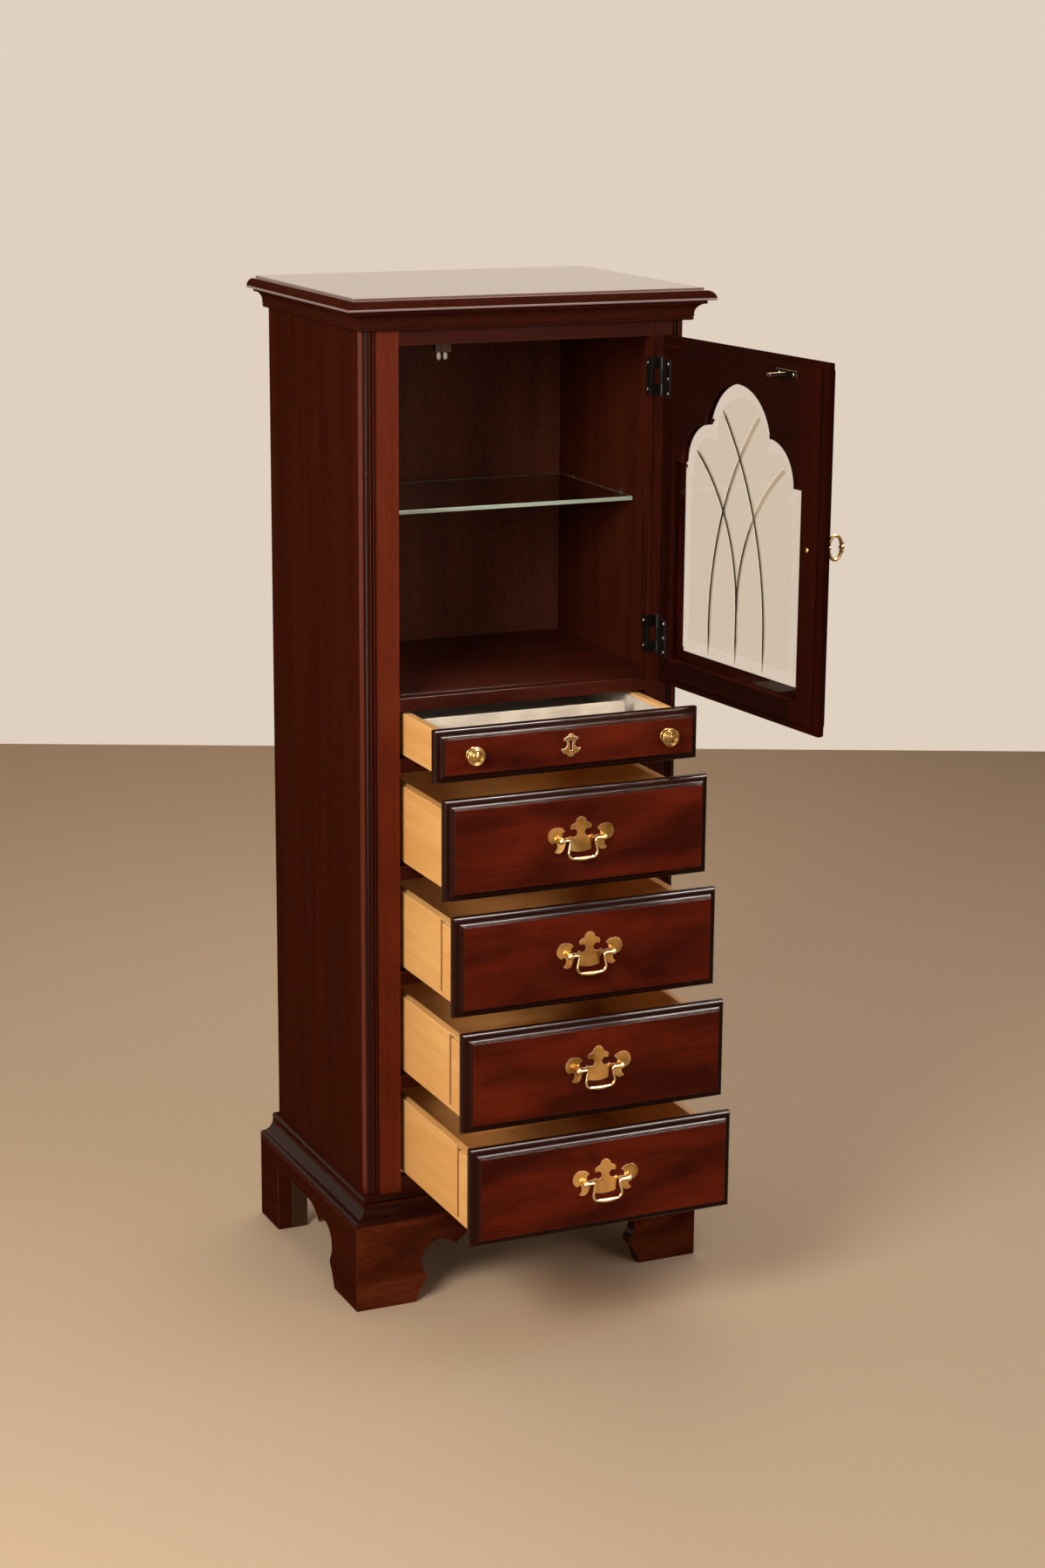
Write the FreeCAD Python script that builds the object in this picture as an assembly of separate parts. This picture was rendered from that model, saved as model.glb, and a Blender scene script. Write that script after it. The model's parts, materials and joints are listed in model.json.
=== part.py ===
import FreeCAD
import Part
import math
import os

from FreeCAD import Vector

# Tall lingerie chest: a glazed cupboard over one jewellery drawer and four deep
# drawers, on a bracket base. Millimetres, +Z up, front towards -Y, origin on the
# floor under the middle of the case. The chest stands open: door swung out on the
# right, every drawer pulled.

# How far cutters run past the wood
cut_past = 1.0

# Case
case_width = 468.0
case_depth = 367.0
side_thickness = 18.0
post_width = 49.0
frame_depth = 22.0
back_thickness = 6.0
back_inset = 1.0
ceiling_thickness = 16.0

# Heights, from the floor up; the door takes what the rest leaves
chest_height = 1399.4
base_height = 125.0
bottom_rail_height = 52.0
deep_opening = 131.5
deep_drawer_count = 4
rail_height = 19.0
shallow_opening = 66.0
floor_thickness = 18.0
top_rail_height = 48.4
top_thickness = 16.0

# Reeded corner of the front posts
corner_bead_radius = 9.0
reed_radius = 2.6
reed_quirk = 2.0
reed_depth = 4.0

# Top board: thumbnail nosing with a fillet under the flat field
top_overhang = 32.3
nosing_flat = 3.0
thumbnail_width = 12.0
thumbnail_rise = 9.6
top_fillet = 1.8

# Crown moulding under the top
crown_height = 28.0
crown_bead_reach = 6.5
crown_bead_height = 5.0
crown_cove_foot = 9.5
crown_cove_head = 20.0
crown_fillet_reach = 22.5
crown_fillet_height = 5.4

# Bracket base
base_overhang = 30.0
base_board = 22.0
foot_width = 90.0
scroll_radius = 29.0
scroll_centre_out = 37.0
scroll_centre_height = 60.0
spur_out = 16.0
spur_height = 40.0
cusp_height = 78.0
apron_height = 98.0
apron_run = 40.0
rear_foot_length = 75.0
rear_block_width = 24.0
corner_block = 34.0
corner_block_clear = 12.0

# Base moulding
base_moulding_height = 32.0
torus_height = 6.5
torus_reach = 4.0
scotia_foot = 24.0
scotia_head = 10.5
base_bead_reach = 8.0
base_bead_height = 8.0

# Moulded edge of the drawer fronts and the door
front_thickness = 18.0
edge_nose = 5.0
edge_quirk = 1.2
edge_cove = 4.0
edge_fillet = 1.5
lip_side = 8.0
lip_height = 2.9
shallow_front_raise = 2.0

# Drawer boxes
box_clearance = 8.0
box_length = 335.0
box_side = 12.0
box_lift = 4.0
deep_side_height = 107.0
shallow_side_height = 58.0
box_back = 12.0
back_drop = 6.0
bottom_thickness = 6.0
bottom_height = 8.0
groove_depth = 6.0
groove_clear = 0.15
filler_length = 54.0
filler_rise = 6.5
filler_drop = 0.5
filler_clear = 3.0
filler_from = 1
guide_width = 28.0
guide_below = 12.0
guide_clear = 0.6
guide_rise_clear = 0.3
runner_strip = 12.0
runner_strip_clear = 0.5
closed_gap = 0.5

# How far each drawer stands out, from the shallow one down
drawer_pulls = [130.0, 164.0, 195.0, 226.0, 253.0]

# Jewellery tray in the shallow drawer
tray_wall = 3.0
tray_clear = 0.6
tray_below_side = 3.0
tray_divider = 107.0
tray_divider_gap = 20.0

# Knobs and escutcheon on the shallow drawer
knob_spacing = 284.0
fittings_above_middle = 3.8
knob_rose_radius = 10.5
knob_neck_radius = 4.2
knob_head_radius = 12.8
knob_rose = 3.4
knob_neck = 8.6
knob_rim = 1.5
knob_ring = 1.1
knob_sink = 0.6
knob_button = 6.4
knob_button_rise = 2.6
escutcheon_half_height = 15.6
escutcheon_crown = 4.2
escutcheon_crown_rise = 11.7
escutcheon_shoulder = 11.0
escutcheon_shoulder_rise = 7.7
escutcheon_brow_bow = 1.2
escutcheon_waist_bow = 7.0
escutcheon_ear = 13.9
escutcheon_ear_drop = 4.3
escutcheon_cheek_bow = 2.0
escutcheon_foot = 5.6
escutcheon_foot_drop = 11.4
escutcheon_thickness = 1.2
keyhole_radius = 3.0
keyhole_eye_rise = 4.2
keyhole_slot = 4.0
keyhole_drop = 7.3

# Bail pulls: a shield between two leaf wings. Wing steps are (out, up, bow of the arc that leads there)
pull_spacing = 63.5
pull_above_middle = 2.5
plate_thickness = 1.6
plate_top = 29.5
plate_crown = 7.4
plate_crown_rise = 23.6
plate_cusp = 9.4
plate_cusp_rise = 20.9
plate_cusp_bow = -0.8
plate_shoulder = 15.5
plate_shoulder_rise = 16.6
plate_shoulder_bow = 1.0
plate_notch_radius = 5.5
plate_notch_out = 10.9
plate_notch_rise = 7.6
plate_notch_gate = 55.0
plate_horn = 16.6
plate_horn_rise = 4.1
plate_waist = 17.5
plate_foot = 15.0
plate_foot_drop = 16.2
plate_flank_bow = -0.9
plate_foot_bow = 2.4
bridge_height = 4.0
wing_start = (23.9, 11.4)
wing_steps = [
    (34.4, 16.8, 1.7),
    (47.0, 9.9, 2.9),
    (41.0, -4.6, 3.6),
    (34.6, -7.0, -2.8),
    (38.3, -15.7, -1.6),
    (31.5, -18.3, 0.9),
    (24.6, -11.8, 1.2),
    (22.4, -3.4, 0.4),
    (28.2, 3.2, 0.0),
]
wing_notch_bow = -1.6
post_radius = 3.4
post_ball_radius = 4.3
post_stand = 9.0
bail_radius = 1.8
bail_swell = 2.7
bail_stub = 14.0
bail_foot = 22.5
bail_drop = 25.0
bail_bow = 1.8
bail_shoulder_bend = 3.2
bail_foot_bend = 8.0
bail_bow_bend = 60.0
pivot_clear = 0.05
pivot_depth = 2.6

# Door
door_angle = 95.5
door_gap = 2.0
door_overlap_top = 2.5
door_overlap_bottom = 4.7
body_clear = 4.0
body_thickness = 7.0
body_step = 8.0
body_chamfer = 4.5
sight_half_width = 137.0
sight_bottom = 54.0
arch_top = 46.5
arch_radius = 78.6
arch_shoulder = 75.0
lobe_radius = 57.0
lobe_step_below_arch = 119.0
sight_splay = 16.0
sight_edge = 2.5
glass_thickness = 5.0
glass_edge = 3.0
glass_setback = 14.6
glass_lap = 6.5
glass_side_lap = 16.5
glass_bevel = 18.0
glass_clear = 0.2
bead_width = 3.0
bead_round = 1.5

# Hinges
barrel_radius = 3.0
barrel_stand = 4.2
barrel_out = 6.0
pin_radius = 1.5
pin_head_radius = 2.6
pin_head = 1.8
leaf_thickness = 1.5
leaf_height = 52.0
knuckle_height = 16.0
knuckle_clear = 0.3
frame_leaf_depth = 13.5
door_leaf_width = 19.0
hinge_from_top = 57.0
hinge_from_bottom = 66.0

# Key-bow door pull
bow_height_from_bottom = 239.6
bow_rose_radius = 7.0
bow_rose = 2.2
bow_stem_radius = 2.4
bow_stem = 6.5
bow_wire = 2.2
bow_height = 31.6
bow_reach = 20.0
bow_ball_radius = 3.3
bow_bead_radius = 3.8
bow_collar_radius = 3.2
bow_collar = 1.8
bow_collar_out = 5.6
screw_radius = 2.0
screw_head_radius = 4.0
screw_head = 1.6
screw_clear = 0.1

# Roller catch and strike
catch_from_centre = 111.0
catch_setback = 8.0
catch_plate_width = 34.0
catch_plate_depth = 14.0
catch_plate = 2.0
catch_housing_width = 22.0
catch_housing_depth = 11.0
roller_radius = 3.0
roller_height = 8.6
roller_gap = 3.4
roller_drop = 14.0
roller_pin_radius = 1.2
roller_clear = 0.06
roller_end_clear = 0.3
roller_collar = 1.2
roller_collar_radius = 2.0
strike_width = 46.0
strike_height = 10.0
strike_plate = 1.4
strike_blade = 1.6
strike_head = 2.6
strike_reach_past = 3.0

# Glass shelf
shelf_above_floor = 230.0
shelf_thickness = 6.0
shelf_front_setback = 111.0
shelf_back_clear = 10.0
shelf_side_clear = 1.5
shelf_pin_radius = 2.5
shelf_pin_hole = 9.0
shelf_pin_fit = 0.02
shelf_paddle = 9.0
shelf_paddle_width = 7.0
shelf_paddle_thickness = 1.6
shelf_tab_thickness = 1.0
shelf_tab_rise = 4.5
shelf_pin_inset = 40.0

# Levels and planes that follow from the sizes above
half_case = case_width / 2
front = -case_depth / 2
back = case_depth / 2
half_opening = half_case - post_width
half_inside = half_case - side_thickness
frame_back = front + frame_depth
panel_front = back - back_inset - back_thickness
deep_pitch = deep_opening + rail_height
openings = [base_height + bottom_rail_height + index * deep_pitch for index in range(deep_drawer_count)]
openings.reverse()
shallow_bottom = openings[0] + deep_pitch
floor_bottom = shallow_bottom + shallow_opening
floor_top = floor_bottom + floor_thickness
case_top = chest_height - top_thickness
ceiling = case_top - top_rail_height
shelf_bottom = floor_top + shelf_above_floor
lip_edge = front_thickness - edge_nose - edge_cove - 2 * edge_fillet
half_front = half_opening + lip_side
half_box = half_opening - box_clearance

UP = Vector(0, 0, 1)


def box(x0, x1, y0, y1, z0, z1):
    """A block between two corners."""
    return Part.makeBox(x1 - x0, y1 - y0, z1 - z0, Vector(x0, y0, z0))


def rod(radius, start, end):
    """A round bar between two points."""
    return Part.makeCylinder(radius, start.distanceToPoint(end), start, end - start)


def upright(y):
    """Maps (across, height) to the vertical plane at this y."""
    return lambda u, v: Vector(u, y, v)


def sideways(x):
    """Maps (depth, height) to the vertical plane at this x."""
    return lambda u, v: Vector(x, u, v)


def level(z):
    """Maps (across, depth) to the horizontal plane at this z."""
    return lambda u, v: Vector(u, v, z)


def outline(place, start, *steps):
    """A closed wire. A step is an end point, or a (through, end) pair for an arc."""
    edges = []
    here = start
    for step in steps:
        if isinstance(step[0], tuple):
            through, end = step
            edges.append(Part.Arc(place(*here), place(*through), place(*end)).toShape())
        else:
            end = step
            edges.append(Part.makeLine(place(*here), place(*end)))
        here = end
    if here != start:
        edges.append(Part.makeLine(place(*here), place(*start)))
    return Part.Wire(edges)


def prism(place, direction, start, *steps):
    """A closed outline drawn out along a direction."""
    return Part.Face(outline(place, start, *steps)).extrude(direction)


def bowed(start, end, bow):
    """A step of an outline: an arc that rises by bow to the left of the way there, or a straight line."""
    if bow == 0.0:
        return end
    run = end[0] - start[0]
    rise = end[1] - start[1]
    scale = bow / math.hypot(run, rise)
    middle = ((start[0] + end[0]) / 2 - rise * scale, (start[1] + end[1]) / 2 + run * scale)
    return (middle, end)


def even_steps(side, foot_bow):
    """Outline of a plate that is the same left and right. Side runs down the right as (out, up, bow)."""
    start = (-side[0][0], side[0][1])
    here = start
    steps = []
    for out, up, bow in side:
        steps.append(bowed(here, (out, up), bow))
        here = (out, up)
    other = (-here[0], here[1])
    steps.append(bowed(here, other, foot_bow))
    for before, current in zip(side[-2::-1], side[:0:-1]):
        steps.append(bowed((-current[0], current[1]), (-before[0], before[1]), current[2]))
    return start, steps


def mirrored(shape):
    """The same shape on the other side of the middle."""
    return shape.mirror(Vector(0, 0, 0), Vector(1, 0, 0))


def pair(shape):
    """A shape and its mirror image."""
    return [shape, mirrored(shape)]


def moved(shapes, offset):
    """Copies of the shapes, shifted."""
    return [shape.translated(offset) for shape in shapes]


def round_path(place, points, bends):
    """A wire along points, each inner corner turned by a tangent arc of the given radius."""
    spots = [place(*point) for point in points]
    edges = []
    here = spots[0]
    for before, corner, after, radius in zip(spots, spots[1:], spots[2:], bends):
        inward = (before - corner).normalize()
        outward = (after - corner).normalize()
        half = inward.getAngle(outward) / 2
        start = corner + inward * (radius / math.tan(half))
        end = corner + outward * (radius / math.tan(half))
        bisector = (inward + outward).normalize()
        middle = corner + bisector * (radius / math.sin(half) - radius)
        edges.append(Part.makeLine(here, start))
        edges.append(Part.Arc(start, middle, end).toShape())
        here = end
    edges.append(Part.makeLine(here, spots[-1]))
    return Part.Wire(edges)


def wire_bar(path, radius):
    """A round bar bent along a path."""
    first = path.OrderedEdges[0]
    start = first.valueAt(first.FirstParameter)
    ring = Part.Wire([Part.makeCircle(radius, start, first.tangentAt(first.FirstParameter))])
    return path.makePipeShell([ring], True, False)


def turned(axis_point, axis, profile):
    """A solid of revolution. The profile is a closed run of (radius, along) steps."""
    side = axis.cross(UP) if abs(axis.dot(UP)) < 0.5 else Vector(1, 0, 0)

    def place(r, t):
        return axis_point + side * r + axis * t

    return Part.Face(outline(place, *profile)).revolve(axis_point, axis, 360)


def dome(radius, low, rise):
    """Last step of a turned profile: a spherical cap from (radius, low) to the axis."""
    sphere = (radius**2 + rise**2) / (2 * rise)
    centre = low + rise - sphere
    half = math.asin(radius / sphere) / 2
    return ((sphere * math.sin(half), centre + sphere * math.cos(half)), (0.0, low + rise))


def moulded_edge():
    """Edge of a front, from its back corner to the raised field, as (inward, forward, through)."""
    nose_end = lip_edge + edge_nose
    cove_start = edge_nose + edge_quirk
    cove_end = cove_start + edge_cove
    turn = math.sqrt(0.5)
    nose_through = (edge_nose * (1 - turn), lip_edge + edge_nose * turn)
    cove_through = (cove_start + edge_cove * turn, nose_end + edge_cove * (1 - turn))
    step = nose_end + edge_cove
    return [
        (0.0, 0.0, None),
        (0.0, lip_edge, None),
        (edge_nose, nose_end, nose_through),
        (cove_start, nose_end, None),
        (cove_end, step, cove_through),
        (cove_end, step + edge_fillet, None),
        (cove_end + edge_fillet, step + edge_fillet, None),
        (cove_end + edge_fillet, front_thickness, None),
    ]


def edged_section(place, low, high, edge, plain_high=False):
    """A section with the moulded edge at its low end and, unless plain, at its high end too."""
    start = (low + edge[0][0], edge[0][1])
    steps = []
    for inward, forward, through in edge[1:]:
        end = (low + inward, forward)
        steps.append(((low + through[0], through[1]), end) if through else end)
    if plain_high:
        steps.append((high, edge[-1][1]))
        steps.append((high, edge[0][1]))
        return Part.Face(outline(place, start, *steps))
    steps.append((high - edge[-1][0], edge[-1][1]))
    for previous, current in zip(edge[-2::-1], edge[:0:-1]):
        end = (high - previous[0], previous[1])
        through = current[2]
        steps.append(((high - through[0], through[1]), end) if through else end)
    return Part.Face(outline(place, start, *steps))


def moulded_board(half_width, z0, z1, back_y):
    """A front board with the moulded edge on all four sides, mitred at its corners."""
    edge = moulded_edge()
    plan = edged_section(lambda u, d: Vector(u, back_y - d, z0), -half_width, half_width, edge)
    rise = edged_section(lambda u, d: Vector(-half_width, back_y - d, u), z0, z1, edge)
    across = plan.extrude(UP * (z1 - z0))
    return across.common(rise.extrude(Vector(2 * half_width, 0, 0))).Solids[0]


def mitred_lengths(profile, reach):
    """Front, left and right lengths of a moulding round the case, mitred at the front corners."""
    z_low = base_height - 1.0
    z_span = case_top + top_thickness
    end = half_case + reach
    nose = front - reach
    front_length = prism(lambda o, z: Vector(-end, front - o, z), Vector(2 * end, 0, 0), *profile)
    left_length = prism(lambda o, z: Vector(-half_case - o, nose, z), Vector(0, back - nose, 0), *profile)
    front_cut = prism(
        level(z_low),
        UP * z_span,
        (-half_case, front),
        (-end, nose),
        (end, nose),
        (half_case, front),
    )
    left_cut = prism(
        level(z_low),
        UP * z_span,
        (-half_case, front),
        (-end, nose),
        (-end, back),
        (-half_case, back),
    )
    return [front_length.common(front_cut).Solids[0]] + pair(left_length.common(left_cut).Solids[0])


def front_posts():
    """Left and right posts, reeded down their outer front corners."""
    bead = corner_bead_radius
    turn = bead * (1 - math.sqrt(0.5))
    reed_start = bead + reed_quirk
    reed_end = reed_start + 2 * reed_radius
    post = prism(
        lambda u, d: Vector(-half_case + u, front + d, base_height),
        UP * (case_top - base_height),
        (0.0, frame_depth),
        (0.0, bead),
        ((turn, turn), (bead, 0.0)),
        (bead, reed_depth),
        (reed_start, reed_depth),
        ((reed_start + reed_radius, reed_depth - reed_radius), (reed_end, reed_depth)),
        (reed_end + reed_quirk, reed_depth),
        (reed_end + reed_quirk, 0.0),
        (post_width, 0.0),
        (post_width, frame_depth),
    )
    return pair(post)


def side_panels():
    """Left and right sides, bored for the shelf pins."""
    panel = box(-half_case, -half_inside, frame_back, back, base_height, case_top)
    for y in shelf_pin_rows():
        hole = rod(
            shelf_pin_radius + shelf_pin_fit,
            Vector(-half_inside, y, shelf_pin_height()),
            Vector(-half_inside - shelf_pin_hole, y, shelf_pin_height()),
        )
        panel = panel.cut(hole)
    return pair(panel)


def front_rails():
    """Rails between the posts, from the bottom one up to the one over the door."""
    spans = [(base_height, openings[-1])]
    spans += [(z + deep_opening, z + deep_pitch) for z in openings]
    spans += [(floor_bottom, floor_top), (ceiling, case_top)]
    return [box(-half_opening, half_opening, front, frame_back, z0, z1) for z0, z1 in sorted(spans)]


def top_board():
    """The top, moulded at its front and ends and plain at the back."""
    edge = [
        (0.0, 0.0, None),
        (0.0, nosing_flat, None),
        (
            thumbnail_width,
            nosing_flat + thumbnail_rise,
            (thumbnail_width * (1 - math.sqrt(0.5)), nosing_flat + thumbnail_rise * math.sqrt(0.5)),
        ),
        (thumbnail_width + top_fillet, nosing_flat + thumbnail_rise, None),
        (thumbnail_width + top_fillet, top_thickness, None),
    ]
    reach = half_case + top_overhang
    nose = front - top_overhang
    across = edged_section(lambda u, d: Vector(u, nose, case_top + d), -reach, reach, edge)
    along = edged_section(lambda u, d: Vector(-reach, u, case_top + d), nose, back, edge, plain_high=True)
    solid = across.extrude(Vector(0, back - nose, 0)).common(along.extrude(Vector(2 * reach, 0, 0)))
    return [solid.Solids[0]]


def crown_moulding():
    """Bead, cove and fillet under the top."""
    foot = case_top - crown_height
    cove_low = foot + crown_bead_height + 1.0
    cove_high = case_top - crown_fillet_height
    bead_tip = crown_bead_reach + crown_bead_height / 2
    cove_through = (
        crown_cove_head - (crown_cove_head - crown_cove_foot) * math.sqrt(0.5),
        cove_low + (cove_high - cove_low) * math.sqrt(0.5),
    )
    profile = [
        (0.0, foot),
        (crown_bead_reach, foot),
        ((bead_tip, foot + crown_bead_height / 2), (crown_bead_reach, foot + crown_bead_height)),
        (crown_cove_foot, foot + crown_bead_height),
        (crown_cove_foot, cove_low),
        (cove_through, (crown_cove_head, cove_high)),
        (crown_fillet_reach, cove_high),
        (crown_fillet_reach, case_top),
        (0.0, case_top),
    ]
    return mitred_lengths(profile, crown_fillet_reach + 1.0)


def base_moulding():
    """Torus, scotia and bead where the case meets its base."""
    foot = base_height
    head = base_height + base_moulding_height
    torus_top = foot + torus_height
    bead_low = head - base_bead_height
    turn = math.sqrt(0.5)
    torus_through = (
        base_overhang - torus_reach * (1 - turn),
        foot + torus_height - torus_reach * (1 - turn),
    )
    scotia_through = (
        scotia_foot - (scotia_foot - scotia_head) * turn,
        torus_top + (bead_low - torus_top) * (1 - turn),
    )
    bead_tip = base_bead_reach + base_bead_height / 2 - 1.0
    profile = [
        (0.0, foot),
        (base_overhang, foot),
        (base_overhang, torus_top - torus_reach),
        (torus_through, (base_overhang - torus_reach, torus_top)),
        (scotia_foot, torus_top),
        (scotia_through, (scotia_head, bead_low)),
        (base_bead_reach, bead_low),
        ((bead_tip, bead_low + base_bead_height / 2), (base_bead_reach, head)),
        (0.0, head),
    ]
    return mitred_lengths(profile, base_overhang)


def scroll_steps(corner, sense):
    """Inner edge of a bracket foot, floor to apron. sense is the way from the corner along the board."""

    def at(out, height):
        return (corner + sense * (foot_width + out), height)

    drop = spur_height - scroll_centre_height
    spur_edge = scroll_centre_out - math.sqrt(scroll_radius**2 - drop**2)
    cusp_rise = cusp_height - scroll_centre_height
    cusp_out = scroll_centre_out + math.sqrt(scroll_radius**2 - cusp_rise**2)
    far_side = scroll_centre_out - scroll_radius * math.cos(math.pi / 4)
    far_height = scroll_centre_height + scroll_radius * math.sin(math.pi / 4)
    return [
        at(0.0, 0.0),
        (at(spur_out * 0.3, spur_height * 0.38), at(spur_out, spur_height * 0.8)),
        at(spur_edge, spur_height),
        (at(far_side, far_height), at(cusp_out, cusp_height)),
        (
            at(cusp_out + apron_run * 0.4, apron_height - (apron_height - cusp_height) * 0.36),
            at(cusp_out + apron_run, apron_height),
        ),
    ]


def reversed_steps(steps):
    """The same edge walked the other way."""
    ends = [step[1] if isinstance(step[0], tuple) else step for step in steps]
    walked = [ends[-1]]
    for index in range(len(steps) - 1, 0, -1):
        step = steps[index]
        end = ends[index - 1]
        walked.append((step[0], end) if isinstance(step[0], tuple) else end)
    return walked


def base_boards():
    """Scrolled front board and the two side boards, mitred at the front corners."""
    reach = half_case + base_overhang
    nose = front - base_overhang
    inner = base_overhang - base_board
    left_scroll = scroll_steps(-reach, 1.0)
    right_scroll = reversed_steps(scroll_steps(reach, -1.0))
    front_blank = prism(
        upright(nose),
        Vector(0, base_board, 0),
        (-reach, 0.0),
        *left_scroll,
        *right_scroll,
        (reach, 0.0),
        (reach, base_height),
        (-reach, base_height),
    )
    front_cut = prism(
        level(0.0),
        UP * base_height,
        (-reach, nose),
        (reach, nose),
        (half_case + inner, nose + base_board),
        (-half_case - inner, nose + base_board),
    )
    side_blank = prism(
        sideways(-reach),
        Vector(base_board, 0, 0),
        (nose, 0.0),
        *scroll_steps(nose, 1.0),
        (back - rear_foot_length, apron_height),
        (back - rear_foot_length, 0.0),
        (back, 0.0),
        (back, base_height),
        (nose, base_height),
    )
    side_cut = prism(
        level(0.0),
        UP * base_height,
        (-reach, nose),
        (-half_case - inner, nose + base_board),
        (-half_case - inner, back),
        (-reach, back),
    )
    return [front_blank.common(front_cut).Solids[0]], pair(side_blank.common(side_cut).Solids[0])


def corner_blocks():
    """Blocks inside the base that carry the case: rear feet, and glue blocks behind the front mitres."""
    inner_x = half_case + base_overhang - base_board
    inner_y = front - base_overhang + base_board
    rear = box(-inner_x, -inner_x + rear_block_width, back - rear_foot_length, back, 0.0, base_height)
    glue_y = inner_y + corner_block
    glue = box(-inner_x, -inner_x + corner_block, inner_y, glue_y, corner_block_clear, base_height)
    return pair(rear) + pair(glue)


def shelf_pin_rows():
    """Depths of the front and rear shelf pins."""
    return [front + shelf_front_setback + shelf_pin_inset, panel_front - shelf_back_clear - shelf_pin_inset]


def shelf_pin_height():
    """Axis height of the shelf pins, under their paddles."""
    return shelf_bottom - shelf_paddle_thickness - shelf_pin_radius


def shelf_pins():
    """Four bracket pins: a round shank in the side, a paddle under the glass and a tab up the side."""
    pins = []
    z = shelf_pin_height()
    half = shelf_paddle_width / 2
    for y in shelf_pin_rows():
        shank = rod(
            shelf_pin_radius,
            Vector(-half_inside - shelf_pin_hole, y, z),
            Vector(-half_inside + shelf_paddle, y, z),
        )
        paddle = box(
            -half_inside,
            -half_inside + shelf_paddle,
            y - half,
            y + half,
            z + shelf_pin_radius * 0.5,
            shelf_bottom,
        )
        tab = box(
            -half_inside,
            -half_inside + shelf_tab_thickness,
            y - half,
            y + half,
            z - shelf_pin_radius,
            shelf_bottom + shelf_thickness + shelf_tab_rise,
        )
        pins += pair(shank.fuse([paddle, tab]).removeSplitter().Solids[0])
    return pins


def glass_shelf():
    """Plate glass shelf with ground edges."""
    reach = half_inside - shelf_side_clear
    plate = box(
        -reach,
        reach,
        front + shelf_front_setback,
        panel_front - shelf_back_clear,
        shelf_bottom,
        shelf_bottom + shelf_thickness,
    )
    arris = shelf_thickness / 8
    return [plate.makeChamfer(arris, plate.Edges)]


def roller_spots():
    """Axes of the two catch rollers, left and right of the strike."""
    y = frame_back + catch_setback
    offset = roller_radius + roller_gap / 2
    return [(-catch_from_centre - offset, y), (-catch_from_centre + offset, y)]


def roller_catch():
    """Catch plate and housing under the ceiling with two pins, and the rollers that turn on them."""
    y = frame_back + catch_setback
    plate = box(
        -catch_from_centre - catch_plate_width / 2,
        -catch_from_centre + catch_plate_width / 2,
        y - catch_plate_depth / 2,
        y + catch_plate_depth / 2,
        ceiling - catch_plate,
        ceiling,
    )
    roller_top = ceiling - roller_drop
    roller_foot = roller_top - roller_height
    housing = box(
        -catch_from_centre - catch_housing_width / 2,
        -catch_from_centre + catch_housing_width / 2,
        y - catch_housing_depth / 2,
        y + catch_housing_depth / 2,
        roller_top + roller_collar,
        ceiling - catch_plate,
    )
    plate = plate.fuse(housing)
    rollers = []
    for x, y in roller_spots():
        head = Vector(x, y, ceiling - catch_plate)
        foot = Vector(x, y, roller_foot - roller_end_clear)
        collar = rod(roller_collar_radius, head, Vector(x, y, roller_top + roller_end_clear))
        pin = rod(roller_pin_radius, head, foot)
        cap = rod(roller_collar_radius, foot, foot - UP * catch_plate)
        plate = plate.fuse([collar, pin, cap])
        bore = roller_pin_radius + roller_clear
        crown = roller_radius * 0.85
        profile = [
            (bore, 0.0),
            (crown, 0.0),
            ((roller_radius, roller_height / 2), (crown, roller_height)),
            (bore, roller_height),
        ]
        rollers.append(turned(Vector(x, y, roller_foot), UP, profile))
    return plate.removeSplitter().Solids[0], rollers


def arch_steps(grow, low, side_grow=None):
    """Scalloped sight line of the door, grown outwards, from the lower right corner round to the left.

    The straight sides and the step over them may grow by their own measure.
    """
    rise = grow if side_grow is None else side_grow
    side = sight_half_width + rise
    arch_centre = door_z1() - arch_top - arch_radius
    lobe_centre_z = door_z1() - arch_top - lobe_step_below_arch
    lobe_centre_x = arch_shoulder
    lobe = lobe_radius + grow
    crown = arch_radius + grow
    step_z = lobe_centre_z + rise
    lobe_x = lobe_centre_x + math.sqrt(lobe**2 - rise**2)
    shoulder = arch_shoulder + grow
    shoulder_low = lobe_centre_z + math.sqrt(lobe**2 - (shoulder - lobe_centre_x) ** 2)
    shoulder_high = arch_centre + math.sqrt(crown**2 - shoulder**2)
    turn = math.sqrt(0.5)
    lobe_through = (lobe_centre_x + lobe * turn, lobe_centre_z + lobe * turn)
    start = (side, low)
    steps = [
        (side, step_z),
        (lobe_x, step_z),
        (lobe_through, (shoulder, shoulder_low)),
        (shoulder, shoulder_high),
        ((0.0, arch_centre + crown), (-shoulder, shoulder_high)),
        (-shoulder, shoulder_low),
        ((-lobe_through[0], lobe_through[1]), (-lobe_x, step_z)),
        (-side, step_z),
        (-side, low),
    ]
    return start, steps


def door_z0():
    """Lower edge of the door."""
    return floor_top - door_overlap_bottom


def door_z1():
    """Upper edge of the door."""
    return ceiling + door_overlap_top


def hinge_axis():
    """Where the hinge pins stand, in plan."""
    return half_front + barrel_out, front - barrel_stand


def hinge_middles():
    """Heights of the two hinges."""
    return [door_z0() + hinge_from_bottom, door_z1() - hinge_from_top]


def knuckle(z0, z1):
    """One hinge knuckle, bored for the pin."""
    x, y = hinge_axis()
    barrel = rod(barrel_radius, Vector(x, y, z0), Vector(x, y, z1))
    return barrel, rod(pin_radius + pivot_clear, Vector(x, y, z0 - 1), Vector(x, y, z1 + 1))


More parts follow.
